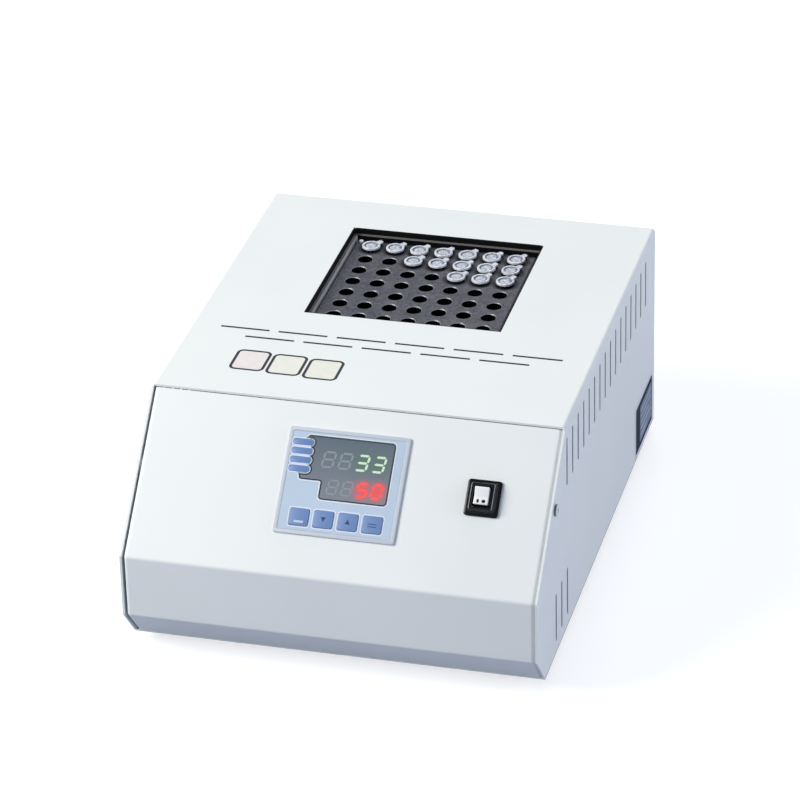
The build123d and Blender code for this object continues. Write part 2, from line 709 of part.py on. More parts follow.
def housing_size():
    """Width and height of the controller's housing, which passes through the panel's opening."""
    shrink = 2 * (FACE_OVERLAP + HOUSING_PLAY)
    return CONTROL_WIDTH - shrink, CONTROL_HEIGHT - shrink


def make_circuit_board():
    """Board with one push switch under each key."""
    width, height = housing_size()
    board = Rectangle(width - 2 * HOUSING_WALL, height - 2 * HOUSING_WALL)
    board = extrude(Pos(0, 0, circuit_top()) * board, -CIRCUIT_HEIGHT)
    foot = extrude(Rectangle(TACT_SIZE, TACT_SIZE), TACT_HEIGHT * 0.8)
    button = extrude(Rectangle(TACT_SIZE / 2, TACT_SIZE / 2), TACT_HEIGHT)
    for k in range(KEY_COUNT):
        board += key_centre(k) * Pos(0, 0, circuit_top()) * (foot + button)
    return control_frame() * board


def make_controller_housing():
    """Housing behind the face, open in front over the circuit board."""
    width, height = housing_size()
    housing = extrude(Rectangle(width, height), -HOUSING_DEPTH)
    hollow = Rectangle(width - 2 * HOUSING_WALL, height - 2 * HOUSING_WALL)
    housing -= extrude(hollow, circuit_top() - CIRCUIT_HEIGHT)
    return control_frame() * housing


def make_controller_clamp():
    """Frame pushed over the housing against the back of the panel."""
    width, height = housing_size()
    ring = Rectangle(width + 2 * CLAMP_WALL, height + 2 * CLAMP_WALL) - Rectangle(width, height)
    return control_frame(-SHEET) * extrude(ring, -CLAMP_HEIGHT)


# ---------------------------------------------------------------- Power switch


def switch_frame(out=0.0):
    """Frame at the middle of the power switch, on the slope's surface."""
    return on_slope(SWITCH_X, SWITCH_DROP, out)


def switch_opening():
    """Opening in the panel for the switch's body."""
    return Rectangle(SWITCH_WIDTH - SWITCH_FLANGE, SWITCH_HEIGHT - SWITCH_FLANGE)


def pivot_pin(radius, length):
    """The rocker's pivot, across the switch."""
    return Pos(0, 0, PIVOT_HEIGHT) * Rot(0, 90, 0) * Cylinder(radius, length)


def make_switch_housing():
    """Switch body with a flange on the panel and a tapered collar round the rocker."""
    flange = extrude(Rectangle(SWITCH_WIDTH, SWITCH_HEIGHT), SWITCH_FLANGE)
    flange = chamfer(flange.faces().sort_by(Axis.Z)[-1].edges(), SWITCH_FLANGE / 4)
    shrink = 2 * SWITCH_MARGIN
    collar = Rectangle(SWITCH_WIDTH - shrink, SWITCH_HEIGHT - shrink)
    collar = extrude(Pos(0, 0, SWITCH_FLANGE) * collar, SWITCH_COLLAR, taper=SWITCH_TAPER)
    shrink = SWITCH_FLANGE + 2 * HOUSING_PLAY
    body = extrude(Rectangle(SWITCH_WIDTH - shrink, SWITCH_HEIGHT - shrink), -SWITCH_DEPTH)
    swing = math.radians(ROCKER_TILT)
    floor = PIVOT_HEIGHT - ROCKER_ROOT - math.sin(swing) * ROCKER_LENGTH / 2 - ROCKER_END_PLAY
    pocket = box(
        (-ROCKER_WIDTH / 2 - ROCKER_SIDE_PLAY, ROCKER_WIDTH / 2 + ROCKER_SIDE_PLAY),
        (-ROCKER_LENGTH / 2 - ROCKER_END_PLAY, ROCKER_LENGTH / 2 + ROCKER_END_PLAY),
        (floor, SWITCH_FLANGE + 2 * SWITCH_COLLAR),
    )
    pivot = pivot_pin(PIVOT_RADIUS + PIVOT_PLAY, ROCKER_WIDTH + 2 * (PIVOT_REACH + PIVOT_PLAY))
    return switch_frame() * (flange + collar + body - pocket - pivot)


def make_rocker():
    """Rocker with a shallow valley between its two pads, tipped to one side at rest."""
    half = ROCKER_LENGTH / 2
    outline = [
        (-half, -ROCKER_ROOT),
        (half, -ROCKER_ROOT),
        (half, ROCKER_CREST),
        (0, ROCKER_VALLEY),
        (-half, ROCKER_CREST),
    ]
    rocker = across(make_face(Polyline(*outline, close=True)), ROCKER_WIDTH)
    rocker += Rot(0, 90, 0) * Cylinder(PIVOT_RADIUS, ROCKER_WIDTH + 2 * PIVOT_REACH)
    return switch_frame(PIVOT_HEIGHT) * Rot(ROCKER_TILT, 0, 0) * rocker


def make_switch_terminals():
    """Four blade terminals behind the switch."""
    blade = box(
        (-TERMINAL_THICKNESS / 2, TERMINAL_THICKNESS / 2),
        (-TERMINAL_WIDTH / 2, TERMINAL_WIDTH / 2),
        (-SWITCH_DEPTH - TERMINAL_LENGTH, -SWITCH_DEPTH),
    )
    x = SWITCH_WIDTH / 4
    y = SWITCH_HEIGHT / 4
    return [switch_frame() * Pos(i * x, j * y) * blade for i in (-1, 1) for j in (-1, 1)]


# ---------------------------------------------------------------- Power inlet and circuit


def inlet_frame():
    """Frame at the middle of the inlet, on the rear panel's outer face, pointing out."""
    origin = (INLET_X, REAR_Y - SHEET, FLOOR_Z + INLET_RISE)
    return Plane(origin=origin, x_dir=(-1, 0, 0), z_dir=(0, 1, 0)).location


def inlet_ears():
    """Places of the inlet's two screws along its width."""
    return (-INLET_EAR_SPACING / 2, INLET_EAR_SPACING / 2)


def socket_outline():
    """Mouth of the inlet: a rectangle with two cut corners above."""
    mouth = Rectangle(SOCKET_WIDTH, SOCKET_HEIGHT)
    return chamfer(mouth.vertices().group_by(Axis.Y)[-1], SOCKET_CHAMFER)


def blades(low, high):
    """Three blades between two levels: earth above, live and neutral below."""
    places = [(-BLADE_SPACING, -BLADE_RISE), (0, BLADE_RISE), (BLADE_SPACING, -BLADE_RISE)]
    blade = extrude(Pos(0, 0, low) * Rectangle(BLADE_WIDTH, BLADE_HEIGHT), high - low)
    return [Pos(x, y) * blade for x, y in places]


def blade_ends():
    """Levels of the blades' two ends, behind the inlet's body and inside its mouth."""
    return -INLET_BODY_DEPTH - TERMINAL_LENGTH, INLET_FLANGE - BLADE_SINK


def make_power_inlet():
    """Appliance inlet with an eared flange and a moulded socket."""
    outline = Rectangle(INLET_WIDTH + INLET_FLANGE, INLET_HEIGHT + INLET_FLANGE)
    ears = [Pos(x, 0) * Circle(INLET_EAR_RADIUS) for x in inlet_ears()]
    flange = extrude(make_hull(outline.edges() + ears[0].edges() + ears[1].edges()), INLET_FLANGE)
    body = extrude(Rectangle(INLET_WIDTH, INLET_HEIGHT), -INLET_BODY_DEPTH)
    socket = extrude(Pos(0, 0, INLET_FLANGE) * socket_outline(), -SOCKET_DEPTH)
    inlet = flange + body - socket - blades(*blade_ends())
    return inlet_frame() * inlet


def make_inlet_blades():
    """The inlet's three contact blades."""
    return [inlet_frame() * blade for blade in blades(*blade_ends())]


def make_solid_state_relay():
    """Relay that switches the element, with a barrier between its terminals at each end."""
    body = extrude(Rectangle(RELAY_WIDTH, RELAY_LENGTH), RELAY_HEIGHT)
    ledge = RELAY_LENGTH / 4
    bay = (RELAY_WIDTH - 3 * HOUSING_WALL) / 2
    for i in (-1, 1):
        for j in (-1, 1):
            corner = Pos(i * (bay + HOUSING_WALL) / 2, j * (RELAY_LENGTH - ledge) / 2, RELAY_HEIGHT)
            body -= corner * Box(bay, ledge, RELAY_HEIGHT)
    return Pos(RELAY_OFFSET, FRONT_Y + RELAY_FRONT + RELAY_LENGTH / 2, FLOOR_Z) * body


def make_terminal_strip():
    """Barrier strip where the mains wiring meets."""
    length = STRIP_WAYS * STRIP_PITCH + STRIP_WALL
    strip = box((-length / 2, length / 2), (-STRIP_WIDTH / 2, STRIP_WIDTH / 2), (0, STRIP_HEIGHT / 2))
    barrier = box(
        (-STRIP_WALL / 2, STRIP_WALL / 2), (-STRIP_WIDTH / 2, STRIP_WIDTH / 2), (0, STRIP_HEIGHT)
    )
    for k in range(STRIP_WAYS + 1):
        strip += Pos((k - STRIP_WAYS / 2) * STRIP_PITCH) * barrier
    return Pos(STRIP_OFFSET, FRONT_Y + STRIP_FRONT + STRIP_WIDTH / 2, FLOOR_Z) * strip


# ---------------------------------------------------------------- Parts

PARTS = {
    "top_cover": make_top_cover(),
    "front_panel": make_front_panel(),
    "base_plate": make_base_plate(),
    "rear_panel": make_rear_panel(),
    "rubber_feet": make_rubber_feet(),
    "side_screws": make_side_screws(),
    "well_frame": make_well_frame(),
    "heating_block": make_heating_block(),
    "block_screw": make_block_screw(),
    "heater_plate": make_heater_plate(),
    "heating_element": make_heating_element(),
    "insulation_board": make_insulation_board(),
    "side_insulation": make_side_insulation(),
    "carrier_plate": make_carrier_plate(),
    "pillars": make_pillars(),
    "temperature_probe": make_temperature_probe(),
    "overheat_thermostat": make_thermostat(),
    "controller_face": make_controller_face(),
    "display_window": make_display_window(),
    "indicator_lamps": make_indicator_lamps(),
    "circuit_board": make_circuit_board(),
    "controller_housing": make_controller_housing(),
    "controller_clamp": make_controller_clamp(),
    "switch_housing": make_switch_housing(),
    "switch_rocker": make_rocker(),
    "switch_terminals": make_switch_terminals(),
    "power_inlet": make_power_inlet(),
    "inlet_blades": make_inlet_blades(),
    "solid_state_relay": make_solid_state_relay(),
    "terminal_strip": make_terminal_strip(),
}
for k in range(KEY_COUNT):
    PARTS[f"key_{k + 1}"] = make_key(k)
microtube = make_microtube()
for row, columns in TUBE_COLUMNS.items():
    for column in columns:
        x, y = hole_places()[f"{row}{column}"]
        PARTS[f"microtube_{row}{column}"] = Pos(x, y, BLOCK_TOP) * microtube

os.makedirs("parts", exist_ok=True)
for name, shape in PARTS.items():
    solids = shape if isinstance(shape, list) else shape.solids()
    export_step(Compound(children=list(solids)) if len(solids) > 1 else solids[0], f"parts/{name}.step")
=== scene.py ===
import json
import math

import bmesh
import bpy
from mathutils import Matrix, Vector, noise
from mathutils.geometry import convex_hull_2d


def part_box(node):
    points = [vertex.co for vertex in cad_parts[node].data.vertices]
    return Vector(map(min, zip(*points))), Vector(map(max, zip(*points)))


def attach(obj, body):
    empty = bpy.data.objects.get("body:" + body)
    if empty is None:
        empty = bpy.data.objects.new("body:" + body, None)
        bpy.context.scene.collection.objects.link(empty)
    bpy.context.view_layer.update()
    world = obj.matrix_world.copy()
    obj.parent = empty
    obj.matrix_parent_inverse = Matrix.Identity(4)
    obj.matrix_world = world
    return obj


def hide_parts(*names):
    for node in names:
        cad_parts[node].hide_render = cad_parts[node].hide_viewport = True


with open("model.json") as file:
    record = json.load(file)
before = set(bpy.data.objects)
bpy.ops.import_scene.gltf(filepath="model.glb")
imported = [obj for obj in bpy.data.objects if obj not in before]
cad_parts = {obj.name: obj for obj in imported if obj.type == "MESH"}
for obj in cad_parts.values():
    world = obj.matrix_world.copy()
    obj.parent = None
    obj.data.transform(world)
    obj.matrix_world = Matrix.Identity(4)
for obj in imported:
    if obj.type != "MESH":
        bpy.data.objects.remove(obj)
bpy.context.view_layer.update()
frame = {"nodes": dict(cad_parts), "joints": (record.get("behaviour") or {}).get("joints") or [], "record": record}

# Looks for the dry block heater. Lengths are in millimetres and are turned into the scene's metres
# where a mesh is made. x runs to the right, y to the rear and z up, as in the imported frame.

MM = 0.001
nodes = frame["nodes"]
joints = {joint["name"]: joint for joint in frame["joints"]}
SLOT_OF = {part["node"]: part["material_slot"] for part in frame["record"]["subparts"]}
BODY_OF = {node: body for body, held in frame["record"]["behaviour"]["bodies"].items() for node in held}


# ---------------------------------------------------------------- Shaders


def tone(red, green, blue):
    """A colour from its everyday 0 to 255 values."""
    return [(value / 255) ** 2.2 for value in (red, green, blue)] + [1.0]


def faded(colour, share):
    """A colour at a share of its brightness."""
    return [value * share for value in colour[:3]] + [1.0]


class Wire:
    """A shader socket that can stand in plain arithmetic."""

    def __init__(self, finish, socket):
        self.finish = finish
        self.socket = socket

    def math(self, operation, *values):
        """A Math node's result for these numbers or wires."""
        return self.finish.node("Math", {"operation": operation}, dict(enumerate(values)))

    def __add__(self, other):
        return self.math("ADD", self, other)

    def __sub__(self, other):
        return self.math("SUBTRACT", self, other)

    def __rsub__(self, other):
        return self.math("SUBTRACT", other, self)

    def __mul__(self, other):
        return self.math("MULTIPLY", self, other)

    def __truediv__(self, other):
        return self.math("DIVIDE", self, other)

    __radd__ = __add__
    __rmul__ = __mul__

    def clipped(self, low, high):
        """0 at or below low, 1 at or above high, and a straight rise between them."""
        values = {"Value": self, "From Min": low, "From Max": high}
        return self.finish.node("MapRange", {"clamp": True}, values)


class Finish:
    """The shader nodes of a material or of the world, in the making."""

    def __init__(self, owner):
        self.owner = owner
        owner.use_nodes = True
        self.tree = owner.node_tree
        self.tree.nodes.clear()

    def node(self, kind, settings=None, values=None, output=0):
        """Adds a node: first its settings, then the values or links of its sockets."""
        new = self.tree.nodes.new("ShaderNode" + kind)
        for name, value in (settings or {}).items():
            setattr(new, name, value)
        for name, value in (values or {}).items():
            if isinstance(value, Wire):
                self.tree.links.new(value.socket, new.inputs[name])
            else:
                new.inputs[name].default_value = value
        return Wire(self, new.outputs[output]) if new.outputs else None

    def place(self):
        """Where a point is on its piece, in metres."""
        return self.node("TexCoord", output="Object")

    def grain(self, size, detail=2.0, rough=0.5, stretch=(1, 1, 1)):
        """Noise from 0 to 1 whose blotches are about size millimetres across."""
        place = self.place()
        if stretch != (1, 1, 1):
            place = self.node("Mapping", None, {"Vector": place, "Scale": stretch})
        values = {"Vector": place, "Scale": 1 / (size * MM), "Detail": detail, "Roughness": rough}
        return self.node("TexNoise", None, values)

    def blend(self, share, first, second):
        """A colour between two others."""
        return self.node("Mix", {"data_type": "RGBA"}, {0: share, 6: first, 7: second}, output=2)

    def bump(self, height, depth, strength=1.0):
        """A normal from a height between 0 and 1 that stands for depth millimetres."""
        return self.node("Bump", None, {"Strength": strength, "Distance": depth * MM, "Height": height})

    def vector(self, operation, first, second=(0, 0, 0), output=0):
        """A Vector Math node's result."""
        return self.node("VectorMath", {"operation": operation}, {0: first, 1: second}, output)

    def off_plate(self, middle, size, radius):
        """Millimetres outside a rounded box, below 0 inside it. Its middle and size are in millimetres."""
        offset = self.vector("SUBTRACT", self.place(), [value * MM for value in middle])
        reach = self.vector("ABSOLUTE", offset)
        flat = [(length / 2 - radius) * MM for length in size]
        beyond = self.vector("MAXIMUM", self.vector("SUBTRACT", reach, flat))
        return self.vector("LENGTH", beyond, output="Value") / MM - radius

    def nearest(self, spots):
        """Metres from a point to the nearest of some spots."""
        place = self.place()
        nearest = None
        for spot in spots:
            apart = self.vector("DISTANCE", place, spot, output="Value")
            nearest = apart if nearest is None else nearest.math("MINIMUM", nearest, apart)
        return nearest

    def seen_by(self, *kinds):
        """1 for rays of these kinds, such as Camera, and 0 for all others."""
        first, *others = (self.node("LightPath", output=f"Is {kind} Ray") for kind in kinds)
        return sum(others, first).clipped(0, 1)

    def glowing(self, strength):
        """Plain white light."""
        return self.node("Emission", None, {"Color": tone(255, 255, 255), "Strength": strength})

    def done(self, shader, kind="OutputMaterial"):
        """Ends the tree with a shader and returns the material, or the world."""
        self.node(kind, None, {"Surface": shader})
        return self.owner

    def principled(self, values):
        """The material, when a Principled shader with these sockets is all of it."""
        return self.done(self.node("BsdfPrincipled", None, values))


def new_finish(name):
    """An empty material, named after its surface."""
    return Finish(bpy.data.materials.new(name))


def moulded(name, colour, roughness, grain=0.5, depth=0.02, drift=0.05, gloss=0.5):
    """Plastic or paint: a fine grain in the surface, and a colour that drifts a little."""
    finish = new_finish(name)
    cloud = finish.grain(24, detail=3)
    fine = finish.grain(grain, detail=1)
    return finish.principled({
        "Base Color": finish.blend(cloud.clipped(0.3, 0.7), faded(tone(*colour), 1 - drift), tone(*colour)),
        "Roughness": roughness + (finish.grain(3) - 0.5) * 0.10,
        "Normal": finish.bump(fine, depth),
        "Specular IOR Level": gloss,
    })


def plated(name, colour, roughness, grain=0.35, depth=0.01, stretch=(1, 1, 1), metallic=1.0):
    """Metal with a drawn or blasted grain and faint stains."""
    finish = new_finish(name)
    lines = finish.grain(grain, detail=3, stretch=stretch)
    stains = finish.grain(9, detail=4).clipped(0.35, 0.65)
    return finish.principled({
        "Base Color": finish.blend(stains, faded(tone(*colour), 0.86), tone(*colour)),
        "Metallic": metallic,
        "Roughness": roughness + (lines - 0.5) * 0.25,
        "Normal": finish.bump(lines, depth),
    })


def powder_coat(name, colour, plates=(), slots=()):
    """Powder coat: orange peel, a fine second grain, a slow drift and faint scuffs.

    plates are thin labels stuck on it: middle, size, corner radius, rim width, rim colour, field colour.
    slots are boxes, middle and size, in which the slots' cut edges are painted dark as painted shade.
    """
    finish = new_finish(name)
    peel = finish.grain(1.6, detail=2, rough=0.55)
    fine = finish.grain(0.28, detail=1)
    height = peel * 0.75 + fine * 0.25
    drift = finish.grain(70, detail=2).clipped(0.3, 0.7)
    scuffs = finish.grain(5, detail=5, rough=0.7, stretch=(1, 0.35, 1)).clipped(0.62, 0.80)
    clean = finish.blend(drift, faded(colour, 0.975), colour)
    body = finish.blend(scuffs * 0.5, clean, faded(colour, 0.93))
    rough = 0.40 + peel * 0.10
    for middle, size, radius, rim, rim_colour, field_colour in plates:
        off = finish.off_plate(middle, size, radius)
        on_plate = off.clipped(0.1, -0.1)
        on_field = off.clipped(0.12 - rim, -0.12 - rim)
        cloud = finish.grain(6, detail=4).clipped(0.3, 0.7)
        field = finish.blend(cloud, faded(field_colour, 0.93), field_colour)
        body = finish.blend(on_plate, body, finish.blend(on_field, rim_colour, field))
        rough = rough - on_plate * 0.12
        height = height - height * on_plate * 0.8 + on_plate
    for middle, size in slots:
        # Painted shade: the slots' cut edges are darkened in place of the shade inside the slots.
        cut = finish.off_plate(middle, size, 0.1).clipped(0.05, -0.05)
        body = finish.blend(cut, body, finish.blend(drift, tone(78, 78, 82), tone(92, 92, 96)))
    return finish.principled({
        "Base Color": body,
        "Roughness": rough,
        "Normal": finish.bump(height, 0.030, 0.6),
        "Specular IOR Level": 0.42,
    })


def glow(name, colour, strength, unlit):
    """A lit segment: its own light with a soft core."""
    finish = new_finish(name)
    core = finish.grain(1.2, detail=1).clipped(0.2, 0.8)
    return finish.principled({
        "Base Color": unlit,
        "Emission Color": finish.blend(core, faded(colour, 0.82), colour),
        "Emission Strength": strength,
        "Roughness": 0.35,
    })


FLOOR_FADE = (0.9, 2.2)


def floor_finish():
    """Pale floor that shows white where it is lit, and lights the object no more than a grey bench does.

    Between two distances from the object, in metres, it turns into the plain white background.
    """
    finish = new_finish("studio_floor")
    cloud = finish.grain(400, detail=2).clipped(0.3, 0.7)
    bench, pale = (
        finish.node("BsdfDiffuse", None, {"Color": finish.blend(cloud, tone(*first), tone(*second))})
        for first, second in (
            ((127, 138, 163), (133, 144, 169)),
            ((203, 204, 205), (205, 206, 207)),
        )
    )
    near = finish.node("AddShader", None, {0: pale, 1: finish.glowing(0.60)})
    away = finish.vector("LENGTH", finish.place(), output="Value").clipped(*FLOOR_FADE)
    shown = finish.node("MixShader", None, {0: away, 1: near, 2: finish.glowing(1.0)})
    seen = finish.seen_by("Camera", "Glossy", "Transmission")
    return finish.done(finish.node("MixShader", None, {0: seen, 1: bench, 2: shown}))


# ---------------------------------------------------------------- Meshes


def piece(name, mesh, slot, *materials, body="case", smooth=32, replaces=()):
    """An object from a finished mesh, which rides on a body of the frame."""
    for polygon in mesh.polygons:
        polygon.use_smooth = True
    mesh.set_sharp_from_angle(angle=math.radians(smooth))
    for material in materials:
        mesh.materials.append(material)
    made = bpy.data.objects.new(name, mesh)
    bpy.context.scene.collection.objects.link(made)
    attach(made, body)
    if replaces:
        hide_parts(*replaces)
    return made


def from_bmesh(name, work):
    """A mesh from finished work."""
    mesh = bpy.data.meshes.new(name)
    work.to_mesh(mesh)
    work.free()
    return mesh


def finished(name, work, matrix):
    """A mesh from millimetre work, welded, with its normals outwards, put in place by a matrix."""
    bmesh.ops.remove_doubles(work, verts=work.verts, dist=0.0005)
    bmesh.ops.recalc_face_normals(work, faces=work.faces)
    bmesh.ops.transform(work, matrix=matrix @ Matrix.Scale(MM, 4), verts=work.verts)
    return from_bmesh(name, work)


def joined(name, meshes):
    """One mesh from several."""
    work = bmesh.new()
    for mesh in meshes:
        work.from_mesh(mesh)
        bpy.data.meshes.remove(mesh)
    return from_bmesh(name, work)


def moved(x=0.0, y=0.0, z=0.0):
    """A shift in millimetres."""
    return Matrix.Translation(Vector((x, y, z)) * MM)


def bridge(work, rings, index=0):
    """Faces between rings of points; a ring of one point is an apex. index picks their material."""
    for first, second in zip(rings, rings[1:]):
        count = max(len(first), len(second))
        for k in range(count):
            a, b = first[k % len(first)], first[(k + 1) % len(first)]
            c, d = second[(k + 1) % len(second)], second[k % len(second)]
            corners = list(dict.fromkeys((a, b, c, d)))
            if len(corners) > 2:
                work.faces.new(corners).material_index = index


def round_work(rings):
    """Work from rings about z; each is a (radius, height) pair per direction, or one pair as an apex."""
    work = bmesh.new()
    made = []
    for ring in rings:
        made.append([])
        for k, (radius, height) in enumerate(ring):
            angle = math.tau * k / len(ring)
            made[-1].append(work.verts.new((radius * math.cos(angle), radius * math.sin(angle), height)))
    bridge(work, made)
    return work


def turned(profile, segments, name, matrix):
    """A solid of revolution about z from (radius, height) pairs; radius 0 closes an end."""
    rings = [[(radius, height)] * (segments if radius else 1) for radius, height in profile]
    return finished(name, round_work(rings), matrix)


def loft(sections, name, matrix, closed=False):
    """A skin through flat outlines, each (points, height). closed joins the last to the first."""
    work = bmesh.new()
    rings = [[work.verts.new((x, y, height)) for x, y in outline] for outline, height in sections]
    bridge(work, rings + rings[:1] if closed else rings)
    if not closed:
        work.faces.new(rings[0])
        work.faces.new(rings[-1])
    return finished(name, work, matrix)


def rounded(corners, radius, steps=5):
    """A closed outline with its corners rounded. radius is one number or one for each corner."""
    count = len(corners)
    radii = radius if isinstance(radius, (list, tuple)) else [radius] * count
    points = []
    for k in range(count):
        corner = Vector(corners[k])
        before = Vector(corners[k - 1]) - corner
        after = Vector(corners[(k + 1) % count]) - corner
        if radii[k] <= 0:
            points.append(tuple(corner))
            continue
        half = before.angle(after) / 2
        reach = min(radii[k] / math.tan(half), before.length * 0.49, after.length * 0.49)
        size = reach * math.tan(half)
        inwards = (before.normalized() + after.normalized()).normalized()
        middle = corner + inwards * (size / math.sin(half))
        start = corner + before.normalized() * reach - middle
        end = corner + after.normalized() * reach - middle
        sweep = start.angle_signed(end)
        for j in range(steps + 1):
            turn = Matrix.Rotation(-sweep * j / steps, 2)
            points.append(tuple(middle + turn @ start))
    return points


def rectangle(width, height, radius=0.0, centre=(0, 0), steps=5):
    """A rectangle's outline, with its corners rounded."""
    x, y = centre
    w, h = width / 2, height / 2
    corners = [(x + w, y + h), (x - w, y + h), (x - w, y - h), (x + w, y - h)]
    return rounded(corners, radius, steps) if radius else corners


def circle(radius, x):
    """A round outline with its middle at x."""
    return rectangle(2 * radius, 2 * radius, radius * 0.999, (x, 0), steps=8)


def grown(outline, distance):
    """An outline moved outwards by a distance. It runs anticlockwise."""
    count = len(outline)
    points = []
    for k in range(count):
        here = Vector(outline[k])
        before = (here - Vector(outline[k - 1])).normalized()
        after = (Vector(outline[(k + 1) % count]) - here).normalized()
        way = Vector((before.y + after.y, -before.x - after.x))
        way.normalize()
        lean = max(way.dot(Vector((after.y, -after.x))), 0.5)
        points.append(tuple(here + way * (distance / lean)))
    return points


def plate(name, outlines, low, high, matrix, edge=0.0, steps=2):
    """A flat plate between two heights; outlines within the first are holes. edge rounds its rims."""
    curve = bpy.data.curves.new(name, "CURVE")
    curve.dimensions = "2D"
    curve.fill_mode = "BOTH"
    curve.extrude = (high - low) / 2 - edge
    curve.bevel_depth = edge
    curve.bevel_resolution = steps
    curve.offset = -edge
    for outline in outlines:
        spline = curve.splines.new("POLY")
        spline.points.add(len(outline) - 1)
        for point, (x, y) in zip(spline.points, outline):
            point.co = (x, y, 0, 1)
        spline.use_cyclic_u = True
    holder = bpy.data.objects.new(name, curve)
    bpy.context.scene.collection.objects.link(holder)
    bpy.context.view_layer.update()
    mesh = bpy.data.meshes.new_from_object(holder.evaluated_get(bpy.context.evaluated_depsgraph_get()))
    bpy.data.objects.remove(holder)
    bpy.data.curves.remove(curve)
    work = bmesh.new()
    work.from_mesh(mesh)
    bpy.data.meshes.remove(mesh)
    bmesh.ops.translate(work, vec=(0, 0, (low + high) / 2), verts=work.verts)
    return finished(name, work, matrix)


# ---------------------------------------------------------------- Places taken from the frame


def frame_at(origin, x_dir, z_dir):
    """A placement with its z along z_dir. Its origin is in millimetres."""
    x, z = Vector(x_dir).normalized(), Vector(z_dir).normalized()
    matrix = Matrix((x, z.cross(x), z)).transposed().to_4x4()
    matrix.translation = Vector(origin) * MM
    return matrix


def span(node, matrix):
    """Low and high corners of a CAD node in a placement, in millimetres."""
    back = matrix.inverted()
    points = [back @ vertex.co / MM for vertex in nodes[node].data.vertices]
    return tuple(Vector([pick(point[k] for point in points) for k in range(3)]) for pick in (min, max))


def box_mm(node):
    """Low and high corners of a CAD node, in millimetres."""
    low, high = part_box(node)
    return low / MM, high / MM


out_of_slope = -Vector(joints["key_1_press"]["axis"])
tilted = frame_at((0, 0, 0), (1, 0, 0), out_of_slope)
tilted_low, tilted_high = span("controller_face", tilted)


def on_slope(x, y):
    """A placement on the sloping panel, from a point of its tilted coordinates."""
    return tilted @ moved(x, y, tilted_low.z)


controller = on_slope((tilted_low.x + tilted_high.x) / 2, (tilted_low.y + tilted_high.y) / 2)
face_low, face_high = span("controller_face", controller)
rocker_axis = Vector(joints["rocker_tilt"]["pos_m"])
switch_spot = (tilted.inverted() @ rocker_axis) / MM
switch = on_slope(switch_spot.x, switch_spot.y)

block_low, block_high = box_mm("heating_block")
block_middle = (block_low + block_high) / 2
cover_low, cover_high = box_mm("top_cover")
seats = {name.removeprefix("microtube_"): name for name in nodes if name.startswith("microtube_")}

HOLES = 7
COLUMN_PITCH, ROW_PITCH = 17.5, 16.9
HOLE_RADIUS, HOLE_DEPTH = 5.2, 37.0


def hole_place(row, column):
    """A hole's middle; row 0 is at the front and column 0 on the left."""
    middle = (HOLES - 1) / 2
    return block_middle.x + (column - middle) * COLUMN_PITCH, block_middle.y + (row - middle) * ROW_PITCH


def seat_place(seat):
    """A seated tube's middle; seats are lettered from the rear and numbered from the left."""
    return hole_place(HOLES - 1 - "abcdefg".index(seat[0]), int(seat[1]) - 1)


# ---------------------------------------------------------------- Finishes

LABEL_SIZE, LABEL_CORNER, LABEL_LINE, LABEL_RIM = (24.2, 28.0, 12), 4.8, 2.0, tone(52, 54, 60)
LABELS = [
    (-85.2, -59.2, tone(242, 234, 231)),
    (-59.7, -60.5, tone(241, 240, 229)),
    (-34.1, -61.8, tone(241, 240, 228)),
]
labels = [
    ((x, y, cover_high.z), LABEL_SIZE, LABEL_CORNER, LABEL_LINE, LABEL_RIM, field) for x, y, field in LABELS
]
# The band of top slots, whose cut edges get painted shade.
slot_shade_band = ((0, -21.6, cover_high.z - 1.3), (260, 16, 2.3))
COVER = powder_coat("cover_paint", tone(238, 241, 240), labels, [slot_shade_band])
REAR = powder_coat("rear_paint", tone(234, 236, 238))
ZINC = plated("zinc_sheet", (176, 180, 186), 0.42, grain=2.5, depth=0.004)
PLATED = plated("plated_screw", (196, 198, 202), 0.28, grain=0.2, depth=0.004)
# Painted highlight: a near white finish for the block screw's head, in place of its glint.
SCREW_GLINT = plated("screw_painted_glint", (250, 250, 252), 0.3, grain=0.2, depth=0.004, metallic=0.2)
# Painted shade for the screw heads' flanks and cross recesses.
SCREW_SHADE = plated("screw_recess_painted_shade", (118, 120, 126), 0.5, grain=0.2, depth=0.004, metallic=0.6)
# Painted highlight: lighter metal for the block's countersinks and top chamfer.
EDGE_HIGHLIGHT = plated("edge_painted_highlight", (150, 152, 158), 0.42, grain=0.4, metallic=0.5)
ALUMINIUM = plated("machined_plate", (200, 202, 206), 0.35, grain=0.3, stretch=(1, 0.04, 1))
CONTACT = plated("tinned_contact", (206, 202, 188), 0.3)
SATIN_BLACK = moulded("satin_black_sheet", (22, 22, 24), 0.5, grain=0.8, depth=0.015, drift=0.3, gloss=0.12)
# Painted light on the well lining: a lighter ledge top and a lighter left sleeve wall.
LEDGE_LIGHT = moulded("ledge_painted_light", (103, 99, 98), 0.5, grain=1.2, drift=0.35)
SLEEVE_LIGHT = moulded("sleeve_painted_light", (214, 211, 212), 0.6, grain=1.2, drift=0.3)
ELEMENT = moulded("silicone_heater", (196, 128, 84), 0.6, grain=1.0, depth=0.05)
WOOL = moulded("mineral_wool", (228, 222, 206), 0.95, grain=1.5, depth=0.5, drift=0.15)
BOARD = moulded("green_board", (40, 104, 66), 0.4, grain=0.4)
RUBBER = moulded("foot_rubber", (46, 46, 46), 0.8, grain=0.6, depth=0.04, drift=0.2)
BLACK_MATT = moulded("black_plastic", (46, 47, 50), 0.5, depth=0.012, drift=0.15)
SMOOTH = {"grain": 0.6, "depth": 0.003}
BLACK_GLOSS = moulded("black_gloss_plastic", (20, 21, 24), 0.24, drift=0.15, gloss=0.3, **SMOOTH)
